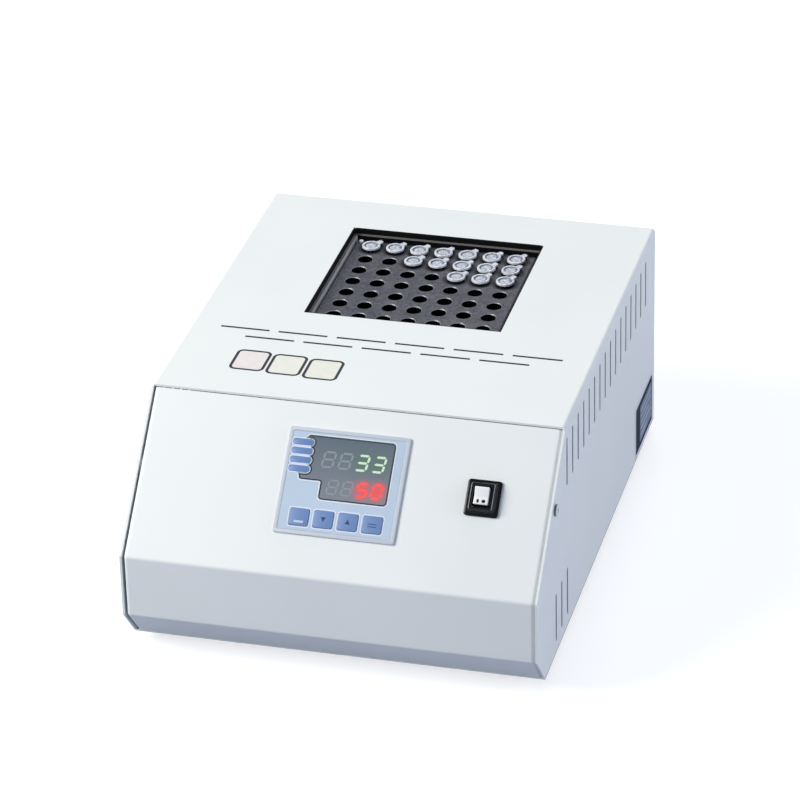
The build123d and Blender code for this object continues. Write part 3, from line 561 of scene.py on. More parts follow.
FLANGE_BLACK = moulded("flange_black_plastic", (26, 28, 31), 0.6, drift=0.15, gloss=0.08, **SMOOTH)
# Painted highlight: a light grey for the switch collar's lip on its left and right.
SWITCH_HIGHLIGHT = moulded("switch_painted_highlight", (176, 179, 186), 0.3, drift=0.2, **SMOOTH)
ROCKER_WHITE = moulded("rocker_white", (250, 250, 248), 0.22, depth=0.003, drift=0.02)
BEZEL = moulded("controller_bezel", (200, 207, 217), 0.42, grain=0.4, depth=0.010)
MEMBRANE = moulded("controller_membrane", (190, 207, 226), 0.34, grain=0.25, depth=0.006)
KEY_BLUE = moulded("key_blue", (112, 141, 190), 0.36, grain=0.25, depth=0.006)
LAMP_BLUE = moulded("lamp_blue", (110, 140, 190), 0.3, grain=0.25, depth=0.006)
LINE_WHITE = moulded("printed_white", (232, 236, 240), 0.4)
LINE_DARK = moulded("printed_dark", (62, 72, 80), 0.35)
LINE_BLACK = moulded("printed_black", (30, 32, 36), 0.35)
KEY_MARK = moulded("key_mark", (44, 62, 118), 0.4)
KEY_PALE = moulded("key_pale_mark", (196, 210, 232), 0.4)
RIM_PALE = moulded("pale_outline", (226, 233, 250), 0.4)
GHOST = moulded("unlit_segment", (138, 148, 154), 0.4)
PLATE_PALE = moulded("plate_pale", (236, 239, 246), 0.5, gloss=0.06)
PLATE_DARK = moulded("plate_dark", (50, 56, 72), 0.7, drift=0.2, gloss=0.06)
PLATE_FIELD = moulded("plate_field", (146, 158, 176), 0.6, drift=0.25, gloss=0.06)
PLATE_LINE = moulded("plate_line", (206, 213, 226), 0.5, gloss=0.06)
GREEN_LIT = glow("green_segment", tone(206, 226, 202), 0.92, tone(90, 110, 90))
RED_LIT = glow("red_segment", tone(252, 88, 84), 0.95, tone(120, 40, 38))

DYE = (
    (tone(60, 61, 68), tone(97, 98, 107)),
    (tone(70, 69, 76), tone(112, 111, 118)),
)
# Millimetres from a seated tube's middle over which the painted shade round it fades out.
SEAT_SHADE_REACH = (8.0, 10.6)


def anodised():
    """Dark anodised aluminium: faint milling lines, a mottled dye and painted shade round the seated tubes."""
    finish = new_finish("anodised_block")
    mottle = finish.grain(2.6, detail=4, rough=0.7).clipped(0.32, 0.68)
    patch = finish.grain(22, detail=3).clipped(0.3, 0.7)
    lines = finish.grain(0.5, detail=2, stretch=(0.03, 1, 1))
    fine = finish.grain(0.3, detail=2)
    dye = finish.blend(patch, *(finish.blend(mottle, dark, light) for dark, light in DYE))
    used = [Vector((*seat_place(seat), block_high.z)) * MM for seat in sorted(seats)]
    # Painted shade: the top darkens near each seated tube, where shade falls round the lids.
    seat_shade = 1 - finish.nearest(used).clipped(SEAT_SHADE_REACH[0] * MM, SEAT_SHADE_REACH[1] * MM)
    return finish.principled({
        "Base Color": finish.blend(seat_shade * 0.96, dye, tone(14, 15, 26)),
        "Metallic": 0.35,
        "Roughness": 0.42 + (lines - 0.5) * 0.2 + (mottle - 0.5) * 0.08,
        "Normal": finish.bump(lines * 0.5 + fine * 0.5, 0.012),
    })


def shaded_bore():
    """The inside of a drilled hole, painted near black as painted shade, with drill rings."""
    finish = new_finish("hole_wall_painted_shade")
    rings = finish.grain(0.6, detail=2, stretch=(0.1, 0.1, 1))
    return finish.principled({
        "Base Color": finish.blend(rings, tone(3, 3, 6), tone(9, 9, 14)),
        "Roughness": 0.8 + (rings - 0.5) * 0.2,
        "Specular IOR Level": 0.02,
        "Normal": finish.bump(rings, 0.02),
    })


def tube_plastic(name, dark, light, through):
    """Milky polypropylene that lets a little light through."""
    finish = new_finish(name)
    cloud = finish.grain(1.7, detail=3).clipped(0.35, 0.65)
    fine = finish.grain(0.4, detail=1)
    return finish.principled({
        "Base Color": finish.blend(cloud, tone(*dark), tone(*light)),
        "Roughness": 0.22 + (finish.grain(1.5) - 0.5) * 0.12,
        "Normal": finish.bump(fine, 0.006),
        "Transmission Weight": through,
        "IOR": 1.49,
    })


FIGURE_CORE, RED_REACH, GREEN_REACH = 1.5, 11, 15


def smoked_window(red_spots, green_spots):
    """Smoked window, lighter low down, with the lit figures' light spread in it."""
    finish = new_finish("smoked_window")

    def halo(spots, reach):
        """1 at the middle of a lit figure, and 0 at reach millimetres from it."""
        share = 1 - finish.nearest(spots).clipped(FIGURE_CORE * MM, reach * MM)
        return share * share

    height = finish.node("SeparateXYZ", None, {"Vector": finish.place()}, output="Z")
    low, high = (corner.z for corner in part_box("display_window"))
    tint = finish.blend(height.clipped(low, high), tone(134, 139, 148), tone(100, 114, 124))
    tint = finish.blend(halo(green_spots, GREEN_REACH) * 0.6, tint, tone(92, 124, 98))
    red = halo(red_spots, RED_REACH)
    return finish.principled({
        "Base Color": finish.blend(red * 0.9, tint, tone(206, 84, 90)),
        "Roughness": 0.10 + finish.grain(6).clipped(0.3, 0.7) * 0.06,
        "Normal": finish.bump(finish.grain(12), 0.02),
        "Coat Weight": 0.3,
        "Emission Color": finish.blend(red, tone(0, 0, 0), tone(255, 70, 72)),
        "Emission Strength": 0.3,
    })


ANODISED = anodised()
HOLE_SHADE = shaded_bore()
TUBE = tube_plastic("tube_plastic", (200, 206, 218), (250, 251, 254), 0.12)
# Painted shade: darker copies of the tube plastic for the lid's groove and recessed middle, and a near black one
# for the collar under the lid.
TUBE_GROOVE_SHADE = tube_plastic("tube_groove_painted_shade", (142, 148, 164), (176, 181, 194), 0.15)
TUBE_MIDDLE_SHADE = tube_plastic("tube_middle", (166, 174, 190), (234, 237, 244), 0.15)
TUBE_COLLAR_SHADE = tube_plastic("tube_collar_painted_shade", (18, 20, 30), (30, 33, 44), 0.05)

finish_of_slot = {
    "cover_paint": COVER,
    "rear_paint": REAR,
    "bare_steel": ZINC,
    "screw_steel": PLATED,
    "black_sheet": SATIN_BLACK,
    "anodised": ANODISED,
    "plain_aluminium": ALUMINIUM,
    "element": ELEMENT,
    "wool": WOOL,
    "tube_plastic": TUBE,
    "face_plastic": BEZEL,
    "window_plastic": LINE_DARK,
    "lamp_plastic": LAMP_BLUE,
    "key_plastic": KEY_BLUE,
    "black_plastic": BLACK_GLOSS,
    "case_plastic": BLACK_MATT,
    "rocker_plastic": ROCKER_WHITE,
    "board": BOARD,
    "contact_metal": CONTACT,
    "foot_rubber": RUBBER,
}
for node, cad in nodes.items():
    for held in cad.material_slots:
        held.material = finish_of_slot[SLOT_OF[node]]


# ---------------------------------------------------------------- Heating block

COUNTERSINK, BLOCK_CHAMFER, DRILL_POINT = 0.5, 1.2, 1.0
HOLE_SIDES = 32


def drilled_cell(work, cx, cy, across, along):
    """One hole with the block's top around it. Its border's points also go into across and along."""
    top, floor = block_high.z, block_high.z - HOLE_DEPTH
    half_x, half_y = COLUMN_PITCH / 2, ROW_PITCH / 2
    angles = [math.tau * (k + 0.5) / HOLE_SIDES for k in range(HOLE_SIDES)]
    edge = []
    for angle in angles:
        c, s = math.cos(angle), math.sin(angle)
        to_x, to_y = half_x / abs(c), half_y / abs(s)
        reach = min(to_x, to_y)
        edge.append(work.verts.new((cx + c * reach, cy + s * reach, top)))
        if to_x < to_y:
            along.add(round(cy + s * reach, 4))
        else:
            across.add(round(cx + c * reach, 4))
    levels = (
        (HOLE_RADIUS + COUNTERSINK, top),
        (HOLE_RADIUS, top - COUNTERSINK),
        (HOLE_RADIUS, floor + DRILL_POINT),
        (HOLE_RADIUS * 0.8, floor),
    )
    rings = [
        [work.verts.new((cx + r * math.cos(a), cy + r * math.sin(a), z)) for a in angles] for r, z in levels
    ]
    bridge(work, [edge, rings[0]])
    for i in (-1, 1):
        for j in (-1, 1):
            corner = work.verts.new((cx + i * half_x, cy + j * half_y, top))
            near = sorted(edge, key=lambda vertex: (vertex.co - corner.co).length)[:2]
            work.faces.new([*near, corner])
    # Painted highlight: the countersink gets the lighter edge metal.
    bridge(work, rings[:2], index=1)
    # Painted shade: the hole's wall and floor get the near black hole material.
    bridge(work, [*rings[1:], [work.verts.new((cx, cy, floor))]], index=2)


def block_mesh():
    """Drilled block: every hole has a countersunk rim and a drill point at its floor."""
    work = bmesh.new()
    low, high, top = block_low, block_high, block_high.z
    across, along = set(), set()
    for row in range(HOLES):
        for column in range(HOLES):
            drilled_cell(work, *hole_place(row, column), across, along)
    reach_x, reach_y = HOLES * COLUMN_PITCH / 2, HOLES * ROW_PITCH / 2
    left, right = block_middle.x - reach_x, block_middle.x + reach_x
    front, rear = block_middle.y - reach_y, block_middle.y + reach_y
    across = sorted(across | {round(left + k * COLUMN_PITCH, 4) for k in range(HOLES + 1)})
    along = sorted(along | {round(front + k * ROW_PITCH, 4) for k in range(HOLES + 1)})
    x0, x1 = low.x + BLOCK_CHAMFER, high.x - BLOCK_CHAMFER
    y0, y1 = low.y + BLOCK_CHAMFER, high.y - BLOCK_CHAMFER
    borders = (
        ([(x, front) for x in across], (x1, y0), (x0, y0)),
        ([(right, y) for y in along], (x1, y1), (x1, y0)),
        ([(x, rear) for x in reversed(across)], (x0, y1), (x1, y1)),
        ([(left, y) for y in reversed(along)], (x0, y0), (x0, y1)),
    )
    for line, *ends in borders:
        work.faces.new([work.verts.new((x, y, top)) for x, y in [*line, *ends]])
    inner = [(x0, y0), (x1, y0), (x1, y1), (x0, y1)]
    outer = [(low.x, low.y), (high.x, low.y), (high.x, high.y), (low.x, high.y)]
    rings = [
        [work.verts.new((*corner, height)) for corner in loop]
        for loop, height in ((inner, top), (outer, top - BLOCK_CHAMFER), (outer, low.z))
    ]
    # Painted highlight: the block's top chamfer gets the lighter edge metal.
    bridge(work, rings[:2], index=1)
    bridge(work, rings[1:])
    work.faces.new(rings[-1])
    return finished("block", work, Matrix.Identity(4))


piece(
    "drilled_block", block_mesh(), "anodised", ANODISED, EDGE_HIGHLIGHT, HOLE_SHADE, body="block",
    replaces=["heating_block"],
)


# ---------------------------------------------------------------- Screws

HEX_SIDES, HEX_RADIUS, HEX_RIM, HEX_TAPER, HEX_FLOOR = 6, 0.5, 1.15, 0.94, 0.45
CROSS_ARM, CROSS_REACH, CROSS_TAPER, CROSS_FLOOR = 0.14, 0.56, 0.8, 0.35


def recessed_head(name, radius, height, matrix):
    """A screw head with rounded shoulders and a recess with flat sides."""
    count = 30
    shoulder = min(height, radius) * 0.35
    inner, floor = radius * HEX_RADIUS, height * HEX_FLOOR
    profile = [(radius, 0), (radius, height - shoulder)]
    for k in range(1, 5):
        angle = math.pi / 2 * k / 4
        profile.append((radius - shoulder * (1 - math.cos(angle)), height - shoulder * (1 - math.sin(angle))))
    profile.append((inner * HEX_RIM, height))
    side = math.tau / HEX_SIDES
    reaches = [
        inner * math.cos(side / 2) / math.cos(math.tau * k / count % side - side / 2) for k in range(count)
    ]
    rings = [[pair] * count for pair in profile]
    rings.append([(reach, height) for reach in reaches])
    rings.append([(reach * HEX_TAPER, floor) for reach in reaches])
    rings.append([(0, floor)])
    return finished(name, round_work(rings), matrix)


def crossed_head(name, radius, height, matrix):
    """A pan head with a cross recess. Its second material is darker, as painted shade on the flank and in the
    recess.
    """
    count = 48
    arm, reach, floor = radius * CROSS_ARM, radius * CROSS_REACH, height * CROSS_FLOOR

    def dome(distance):
        """Height of the domed top at a distance from the axis."""
        return height * (0.62 + 0.38 * math.sqrt(max(1 - (distance / radius) ** 2, 0)))

    def cross_radius(angle):
        """Distance to the cross's outline in a direction."""
        shorter, longer = sorted((abs(math.cos(angle)), abs(math.sin(angle))))
        return min(reach / longer, arm / shorter if shorter > 1e-6 else reach / longer)

    profile = [(radius * share, height * rise) for share, rise in ((1.0, 0.0), (1.0, 0.45), (0.985, 0.62))]
    profile += [(radius * share, dome(radius * share)) for share in (0.94, 0.84, 0.72, 0.62)]
    lips = [cross_radius(math.tau * k / count) for k in range(count)]
    rings = [[pair] * count for pair in profile]
    rings.append([(lip, dome(lip)) for lip in lips])
    rings.append([(lip * CROSS_TAPER, floor) for lip in lips])
    rings.append([(0, floor)])
    work = round_work(rings)
    for face in work.faces:
        middle = face.calc_center_median()
        in_recess = middle.xy.length < reach * 0.9 and middle.z < height * 0.9
        if middle.xy.length > radius * 0.96 or in_recess:
            face.material_index = 1
    return finished(name, work, matrix)


def cross_heads(name, size, arm, spots, replaces=()):
    """Pan heads, size is their radius and height. Each spot is a place and the way out of it."""
    heads = [crossed_head(name, *size, frame_at(place, arm, way)) for place, way in spots]
    piece(name, joined(name, heads), "screw_steel", PLATED, SCREW_SHADE, replaces=replaces)


screw_low, screw_high = box_mm("block_screw")
screw_spot = (screw_low + screw_high) / 2
small_head = recessed_head(
    "block_screw_head",
    (screw_high.x - screw_low.x) / 2,
    screw_high.z - block_high.z,
    moved(screw_spot.x, screw_spot.y, block_high.z),
)
# The block screw's head is near white as a painted glint.
piece("block_screw_head", small_head, "screw_steel", SCREW_GLINT, body="block", replaces=["block_screw"])


# ---------------------------------------------------------------- Well lining

COVER_SHEET, WELL_SHEET, WELL_FOLD, WELL_FLANGE = 1.5, 1.0, 0.35, 12.0
RIM_LEDGE, RIM_DROP, RIM_ROUND, WELL_CORNER = 1.5, 4.5, 0.25, 2.4


def lining_mesh():
    """Black sheet lining: a rim in the cover's mouth, a flange below it, a ledge and the sleeve."""
    low, high = box_mm("well_frame")
    middle = (low + high) / 2
    top = cover_high.z
    under, ledge = top - COVER_SHEET, top - RIM_DROP
    outline = [
        (WELL_SHEET, top - RIM_ROUND),
        (WELL_SHEET - RIM_ROUND, top),
        (RIM_ROUND, top),
        (0.0, top - RIM_ROUND),
        (0.0, ledge + WELL_FOLD),
        (-WELL_FOLD, ledge),
        (WELL_FOLD - RIM_LEDGE, ledge),
        (-RIM_LEDGE, ledge - WELL_FOLD),
        (-RIM_LEDGE, low.z),
        (WELL_SHEET - RIM_LEDGE, low.z),
        (WELL_SHEET - RIM_LEDGE, ledge - WELL_SHEET),
        (WELL_SHEET, ledge - WELL_SHEET),
        (WELL_SHEET, under - WELL_SHEET),
        (WELL_FLANGE, under - WELL_SHEET),
        (WELL_FLANGE, under),
        (WELL_SHEET, under),
    ]
    width, length = high.x - low.x - 2 * WELL_FLANGE, high.y - low.y - 2 * WELL_FLANGE
    sections = [
        (rectangle(width + 2 * out, length + 2 * out, max(WELL_CORNER + out, 0.6), steps=4), height)
        for out, height in outline
    ]
    return loft(sections, "lining", moved(middle.x, middle.y), closed=True)


lining = piece(
    "well_lining", lining_mesh(), "black_sheet", SATIN_BLACK, LEDGE_LIGHT, SLEEVE_LIGHT, replaces=["well_frame"]
)
# Painted light: the ledge's upward faces and the left sleeve wall, which faces right, get the lighter materials.
for polygon in lining.data.polygons:
    depth = cover_high.z - polygon.center.z / MM
    if RIM_DROP - 0.5 < depth < RIM_DROP + 0.5 and polygon.normal.z > 0.3:
        polygon.material_index = 1
    elif depth > RIM_DROP + 0.4 and polygon.normal.x > 0.5 and polygon.center.x < 0:
        polygon.material_index = 2


# ---------------------------------------------------------------- Microtubes

TUBE_RADIUS = HOLE_RADIUS - 0.3
TAB_REACH, TAB_WIDTH, TAB_SHEET, TAB_ANGLE = 10.1, 4.4, 1.25, 56
LID_RING, LID_UNDERCUT = (0.59, 0.76), 0.36
TURN_SPREAD, TURN_STEP = 10, 0.37


def tube_mesh(name, r, h, depth, at, angle):
    """Closed microtube: ringed lid of radius r and height h with a finger tab, a body and a tip."""
    profile = [
        (0, -depth),
        (1.1, -depth + 0.15),
        (1.8, -depth + 0.8),
        (TUBE_RADIUS - 0.15, 15.5 - depth),
        (TUBE_RADIUS, 16.2 - depth),
        (TUBE_RADIUS, -0.9),
        (TUBE_RADIUS + 0.25, -0.2),
        (TUBE_RADIUS + 0.6, 0.02),
        (TUBE_RADIUS + 0.6, 0.36 * h),
        (r - 0.3, 0.38 * h),
        (r - 0.05, 0.43 * h),
        (r, 0.50 * h),
        (r, h - 0.55),
        (r - 0.12, h - 0.2),
        (r - 0.45, h),
        (0.80 * r, h),
        (0.76 * r, h - 0.12),
        (0.73 * r, h - 1.05),
        (0.70 * r, h - 1.2),
        (0.62 * r, h - 1.2),
        (0.58 * r, h - 1.1),
        (0.55 * r, h - 0.55),
        (0.51 * r, h - 0.42),
        (0.2 * r, h - 0.42),
        (0.12 * r, h - 0.62),
        (0, h - 0.66),
    ]
    shell = turned(profile, 40, name, at)
    inner, half = 0.9 * r, TAB_WIDTH / 2
    corners = [(inner, -half), (TAB_REACH, 0.4 - half), (TAB_REACH, half - 0.4), (inner, half)]
    turn = at @ Matrix.Rotation(angle, 4, "Z")
    tab = plate(name, [rounded(corners, [0, 1.5, 1.5, 0])], h - TAB_SHEET - 0.2, h - 0.2, turn, edge=0.25)
    ridge = rectangle(0.9, TAB_WIDTH - 1.2, 0.4, (TAB_REACH - 1.2, 0))
    return joined(name, [shell, tab, plate(name, [ridge], h - 0.3, h, turn, edge=0.12)])


for seat, node in sorted(seats.items()):
    low, high = box_mm(node)
    x, y = seat_place(seat)
    lid_radius, lid_height = x - low.x, high.z - block_high.z
    drift = math.radians(TURN_SPREAD) * noise.noise(Vector((x, y, 0)) * TURN_STEP)
    tube = piece(
        f"closed_tube_{seat}",
        tube_mesh(
            f"tube_{seat}",
            lid_radius,
            lid_height,
            block_high.z - low.z,
            moved(x, y, block_high.z),
            math.radians(TAB_ANGLE) + drift,
        ),
        "tube_plastic",
        TUBE,
        TUBE_GROOVE_SHADE,
        TUBE_MIDDLE_SHADE,
        TUBE_COLLAR_SHADE,
        body=BODY_OF[node],
        smooth=40,
        replaces=[node],
    )
    # Painted shade: the lid's groove and recessed middle get darker plastic, and the collar under the lid near
    # black plastic.
    for polygon in tube.data.polygons:
        centre = polygon.center / MM
        share = math.hypot(centre.x - x, centre.y - y) / lid_radius
        if share < LID_RING[1] and centre.z > block_high.z + 1:
            polygon.material_index = 1 if share > LID_RING[0] else 2
        elif abs(centre.z - block_high.z) < LID_UNDERCUT * lid_height:
            polygon.material_index = 3


# ---------------------------------------------------------------- Controller

face_width, face_height = face_high.x - face_low.x, face_high.y - face_low.y
proud = face_high.z - face_low.z
BORDER = 2.8

window_low, window_high = span("display_window", controller)
WINDOW_STEP, WINDOW_CORNERS = (16.2, 12.4), [1.6, 1.0, 2.2, 2.4, 2.4, 1.0]
lamp_low, lamp_high = span("indicator_lamps", controller)
LAMPS, LAMP_HEIGHT, LAMP_MARGIN = 4, 4.4, 1.0
lamp_length = lamp_high.x - lamp_low.x
lamp_pitch = (lamp_high.y - lamp_low.y - LAMP_HEIGHT) / (LAMPS - 1)
lamp_x = (lamp_low.x + lamp_high.x) / 2
lamp_ys = [lamp_high.y - LAMP_HEIGHT / 2 - k * lamp_pitch for k in range(LAMPS)]

KEYS, KEY_WIDTH, KEY_HEIGHT, KEY_CORNER, KEY_PLAY = range(1, 5), 13.2, 11.7, 1.5, 0.5
key_boxes = {k: span(f"key_{k}", controller) for k in KEYS}
key_places = {k: ((low.x + high.x) / 2, (low.y + high.y) / 2) for k, (low, high) in key_boxes.items()}
key_proud = key_boxes[1][1].z


def layer(name, outlines, low, high, slot, material, edge=0.0, steps=2, body="case", replaces=()):
    """A flat piece of the controller, between two heights above the panel."""
    flat = plate(name, outlines, low, high, controller, edge, steps)
    piece(name, flat, slot, material, body=body, replaces=replaces)


def pill(y):
    """A lamp's outline with round ends."""
    return rectangle(lamp_length, LAMP_HEIGHT, LAMP_HEIGHT * 0.46, (lamp_x, y))


def key_outline(k, more=0.0):
    """A key's outline, or its opening's where it is larger."""
    return rectangle(KEY_WIDTH + more, KEY_HEIGHT + more, KEY_CORNER, key_places[k])


def window_outline():
    """The window's stepped outline, scalloped round the lamps."""
    left, right, top, bottom = window_low.x, window_high.x, window_high.y, window_low.y
    step_x, step_y = left + WINDOW_STEP[0], bottom + WINDOW_STEP[1]
    radius = LAMP_HEIGHT / 2 + LAMP_MARGIN
    centre = lamp_high.x - LAMP_HEIGHT / 2
    corners = [(left + 1.0, step_y), (step_x, step_y), (step_x, bottom)]
    corners += [(right, bottom), (right, top), (left + 3.5, top)]
    bow = math.asin(min(lamp_pitch / 2 / radius, 1))
    points = rounded(corners, WINDOW_CORNERS) + [(left + 1.6, lamp_ys[0] + radius)]
    for k, y in enumerate(lamp_ys):
        start = math.pi / 2 if k == 0 else bow
        end = -math.pi / 2 if k == LAMPS - 1 else -bow
        for j in range(9):
            angle = start + (end - start) * j / 8
            points.append((centre + radius * math.cos(angle), y + radius * math.sin(angle)))
    return points + [(left + 0.4, lamp_ys[-1] - radius)]


window = window_outline()
outer = rectangle(face_width, face_height, 1.6)
inner = rectangle(face_width - 2 * BORDER, face_height - 2 * BORDER, 1.2)
key_holes = [key_outline(k, KEY_PLAY) for k in KEYS]
pills = [pill(y) for y in lamp_ys]

# Heights of the face's parts: the membrane under the rim, then the rest above the membrane
SHEET_SUNK, PRINT_PROUD, FIGURE_PROUD, LENS_PROUD, GLASS_PROUD = 0.25, 0.05, 0.06, 0.12, 0.02
half_proud, sheet_top = proud * 0.5, proud - SHEET_SUNK
print_top = sheet_top + PRINT_PROUD

layer(
    "controller_bezel", [outer, inner], 0, proud, "face_plastic", BEZEL,
    edge=0.45, steps=3, replaces=["controller_face"],
)
layer("controller_backing", [inner, *key_holes], 0.0, half_proud, "case_plastic", BLACK_MATT)
membrane = [grown(inner, -0.05), grown(window, 0.05), *key_holes, *pills]
layer("controller_membrane", membrane, half_proud, sheet_top, "face_plastic", MEMBRANE)
white_ring, dark_ring = ([grown(window, reach) for reach in pair] for pair in ((0.95, 0.30), (0.30, -0.85)))
layer("window_white_line", white_ring, sheet_top, print_top, "face_plastic", LINE_WHITE)
layer("window_dark_line", dark_ring, sheet_top - 0.2, print_top, "window_plastic", LINE_DARK)

lens_top = sheet_top + LENS_PROUD
lenses = [plate("lamp", [shape], half_proud, lens_top, controller, edge=0.15) for shape in pills]
piece("lamp_lenses", joined("lamps", lenses), "lamp_plastic", LAMP_BLUE, replaces=["indicator_lamps"])
ringed = [(shape, 0.7, 0.0) for shape in pills] + [(shape, 0.85, -0.05) for shape in key_holes]
rims = [
    plate("rim", [grown(shape, outside), grown(shape, inside)], sheet_top, print_top, controller)
    for shape, outside, inside in ringed
]
piece("lamp_rims", joined("rims", rims), "lamp_plastic", RIM_PALE)

UPPER_LINE, LOWER_LINE = 15.9, -2.4
GREEN_AT, GREEN_PITCH, GREEN_SIZE, GREEN_WEIGHT = 11.2, 11.2, (7.0, 10.0), 0.11
RED_AT, RED_PITCH, RED_SIZE, RED_WEIGHT = 14.0, 9.9, (6.4, 9.0), 0.17
GHOST_UPPER_AT, GHOST_UPPER_SIZE = -11.4, (7.2, 10.2)
GHOST_LOWER_AT, GHOST_LOWER_SIZE, GHOST_WEIGHT = -6.0, (6.2, 9.2), 0.095
SEGMENTS = {"0": "abcdef", "3": "abcdg", "5": "acdfg", "8": "abcdefg"}
SEGMENT_GAP, DIGIT_LEAN = 0.05, 0.16


def lit_spots(start, pitch, line):
    """The middles of a pair of lit figures."""
    return [controller @ (Vector((start + k * pitch, line, proud)) * MM) for k in range(2)]


halos = smoked_window(lit_spots(RED_AT, RED_PITCH, LOWER_LINE), lit_spots(GREEN_AT, GREEN_PITCH, UPPER_LINE))
layer(
    "smoked_window", [grown(window, -0.80)], half_proud, sheet_top + GLASS_PROUD, "window_plastic", halos,
    replaces=["display_window"],
)


def digit(figure, x, y, size, weight):
    """Outlines of a seven-segment figure with its middle at x, y. weight is a share of its width."""
    width = size[0]
    w, h = width / 2, size[1] / 2
    ends = {
        "a": ((-w, h), (w, h)),
        "b": ((w, h), (w, 0)),
        "c": ((w, 0), (w, -h)),
        "d": ((-w, -h), (w, -h)),
        "e": ((-w, 0), (-w, -h)),
        "f": ((-w, h), (-w, 0)),
        "g": ((-w, 0), (w, 0)),
    }
    outlines = []
    for letter in SEGMENTS[figure]:
        start, end = (Vector(point) for point in ends[letter])
        way = (end - start).normalized()
        start, end = start + way * width * SEGMENT_GAP, end - way * width * SEGMENT_GAP
        way = way * width * weight
        side = Vector((-way.y, way.x))
        shape = [start, start + way - side, end - way - side, end, end - way + side, start + way + side]
        outlines.append([(x + p.x + DIGIT_LEAN * p.y, y + p.y) for p in shape])
    return outlines


def figures(text, x, y, pitch, size, weight):
    """Outlines of several figures, the first at x."""
    return sum([digit(figure, x + k * pitch, y, size, weight) for k, figure in enumerate(text)], [])


ghost = figures("88", GHOST_UPPER_AT, UPPER_LINE, GREEN_PITCH, GHOST_UPPER_SIZE, GHOST_WEIGHT)
ghost += figures("88", GHOST_LOWER_AT, LOWER_LINE, RED_PITCH, GHOST_LOWER_SIZE, GHOST_WEIGHT)
green = figures("33", GREEN_AT, UPPER_LINE, GREEN_PITCH, GREEN_SIZE, GREEN_WEIGHT)
red = figures("50", RED_AT, LOWER_LINE, RED_PITCH, RED_SIZE, RED_WEIGHT)
for name, shapes, material in (
    ("unlit_segments", ghost, GHOST),
    ("green_segments", green, GREEN_LIT),
    ("red_segments", red, RED_LIT),
):
    layer(name, shapes, sheet_top, sheet_top + FIGURE_PROUD, "window_plastic", material)


BAR, BAR_SHIFT = (6.4, 1.5, 0.5), (0.3, -3.2)
TWIN_LINE, TWIN_SHIFTS = (6.0, 0.5, 0.2), (0.3, -1.5)
ARROW_HALF, ARROW_FOOT, ARROW_TIP = 1.7, 1.5, 1.7


def key_mark(k, x, y):
    """The printed mark of a key: a bar, an arrow down, an arrow up or two lines."""
    if k == 1:
        return [rectangle(*BAR, (x + BAR_SHIFT[0], y + BAR_SHIFT[1]))]
    if k == 4:
        return [rectangle(*TWIN_LINE, (x, y + shift)) for shift in TWIN_SHIFTS]
    up = -1 if k == 2 else 1
    foot = y - ARROW_FOOT * up
    return [[(x - ARROW_HALF, foot), (x + ARROW_HALF, foot), (x, y + ARROW_TIP * up)]]


KEY_ROOT = -0.6
cap_top, mark_low, mark_top = key_proud - 0.06, key_proud - 0.08, key_proud - 0.02
for k in KEYS:
    key = f"key_{k}"
    layer(
        f"key_cap_{k}", [key_outline(k)], KEY_ROOT, cap_top, "key_plastic", KEY_BLUE,
        edge=0.4, steps=3, body=key, replaces=[key],
    )
    mark, printed = key_mark(k, *key_places[k]), KEY_PALE if k == 1 else KEY_MARK
    layer(f"key_mark_{k}", mark, mark_low, mark_top, "key_plastic", printed, body=key)


# ---------------------------------------------------------------- Power switch

FLANGE_SIZE, COLLAR_FOOT, COLLAR_LIP, POCKET = (22.5, 24.5), (18.1, 20.1), (15.5, 17.5), (11.7, 13.7)
COLLAR_TOP, FLANGE_TOP = 6.0, 2.0


def switch_mesh():
    """Switch surround: a rounded flange, a tapered collar and the well that the rocker sits in.

    Each row is an outline's size, how much larger it is, its corner radius and its height.
    """
    rows = [
        (FLANGE_SIZE, -2.4, 1.2, -6.0),
        (FLANGE_SIZE, -2.4, 1.2, 0.0),
        (FLANGE_SIZE, -0.2, 1.9, 0.0),
        (FLANGE_SIZE, 0.0, 2.0, 0.3),
        (FLANGE_SIZE, 0.0, 2.0, 1.3),
        (FLANGE_SIZE, -0.4, 1.8, 1.8),
        (FLANGE_SIZE, -1.2, 1.5, FLANGE_TOP),
        (COLLAR_FOOT, 0.5, 1.3, FLANGE_TOP),
        (COLLAR_FOOT, 0.0, 1.2, 2.2),
        (COLLAR_LIP, 0.1, 1.0, COLLAR_TOP - 0.4),
        (COLLAR_LIP, -0.5, 0.9, COLLAR_TOP),
        (POCKET, 1.2, 0.8, COLLAR_TOP),
        (POCKET, 0.3, 0.6, COLLAR_TOP - 0.35),
        (POCKET, 0.0, 0.5, COLLAR_TOP - 1.0),
        (POCKET, 0.0, 0.5, -3.0),
    ]
    sections = [
        (rectangle(width + more, height + more, corner), level)
        for (width, height), more, corner, level in rows
    ]
    return loft(sections, "switch_surround", switch)


surround = piece(
    "switch_surround",
    switch_mesh(),
    "black_plastic",
    BLACK_GLOSS,
    SWITCH_HIGHLIGHT,
    FLANGE_BLACK,
    smooth=28,
    replaces=["switch_housing"],
)
off_switch = switch.inverted()
outer_lip = COLLAR_LIP[0] / 2 - 0.6
# Painted highlight: the collar's lip faces on the left and right get the light grey plastic.
for polygon in surround.data.polygons:
    centre = off_switch @ polygon.center / MM
    facing = off_switch.to_3x3() @ polygon.normal
    if centre.z > COLLAR_TOP - 0.5 and abs(facing.x) > 0.3 and abs(centre.x) > outer_lip:
        polygon.material_index = 1
    elif centre.z < FLANGE_TOP - 0.1:
        polygon.material_index = 2


ROCKER_HALF = 4.75
ROCKER_LOW, ROCKER_HIGH, ROCKER_ROOT = -5.3, 6.4, -4.0
ROCKER_CREST, ROCKER_VALLEY = 5.0, 3.7
MARK_AT, MARK_LOW, MARK_HIGH = -3.1, -0.2, 0.12

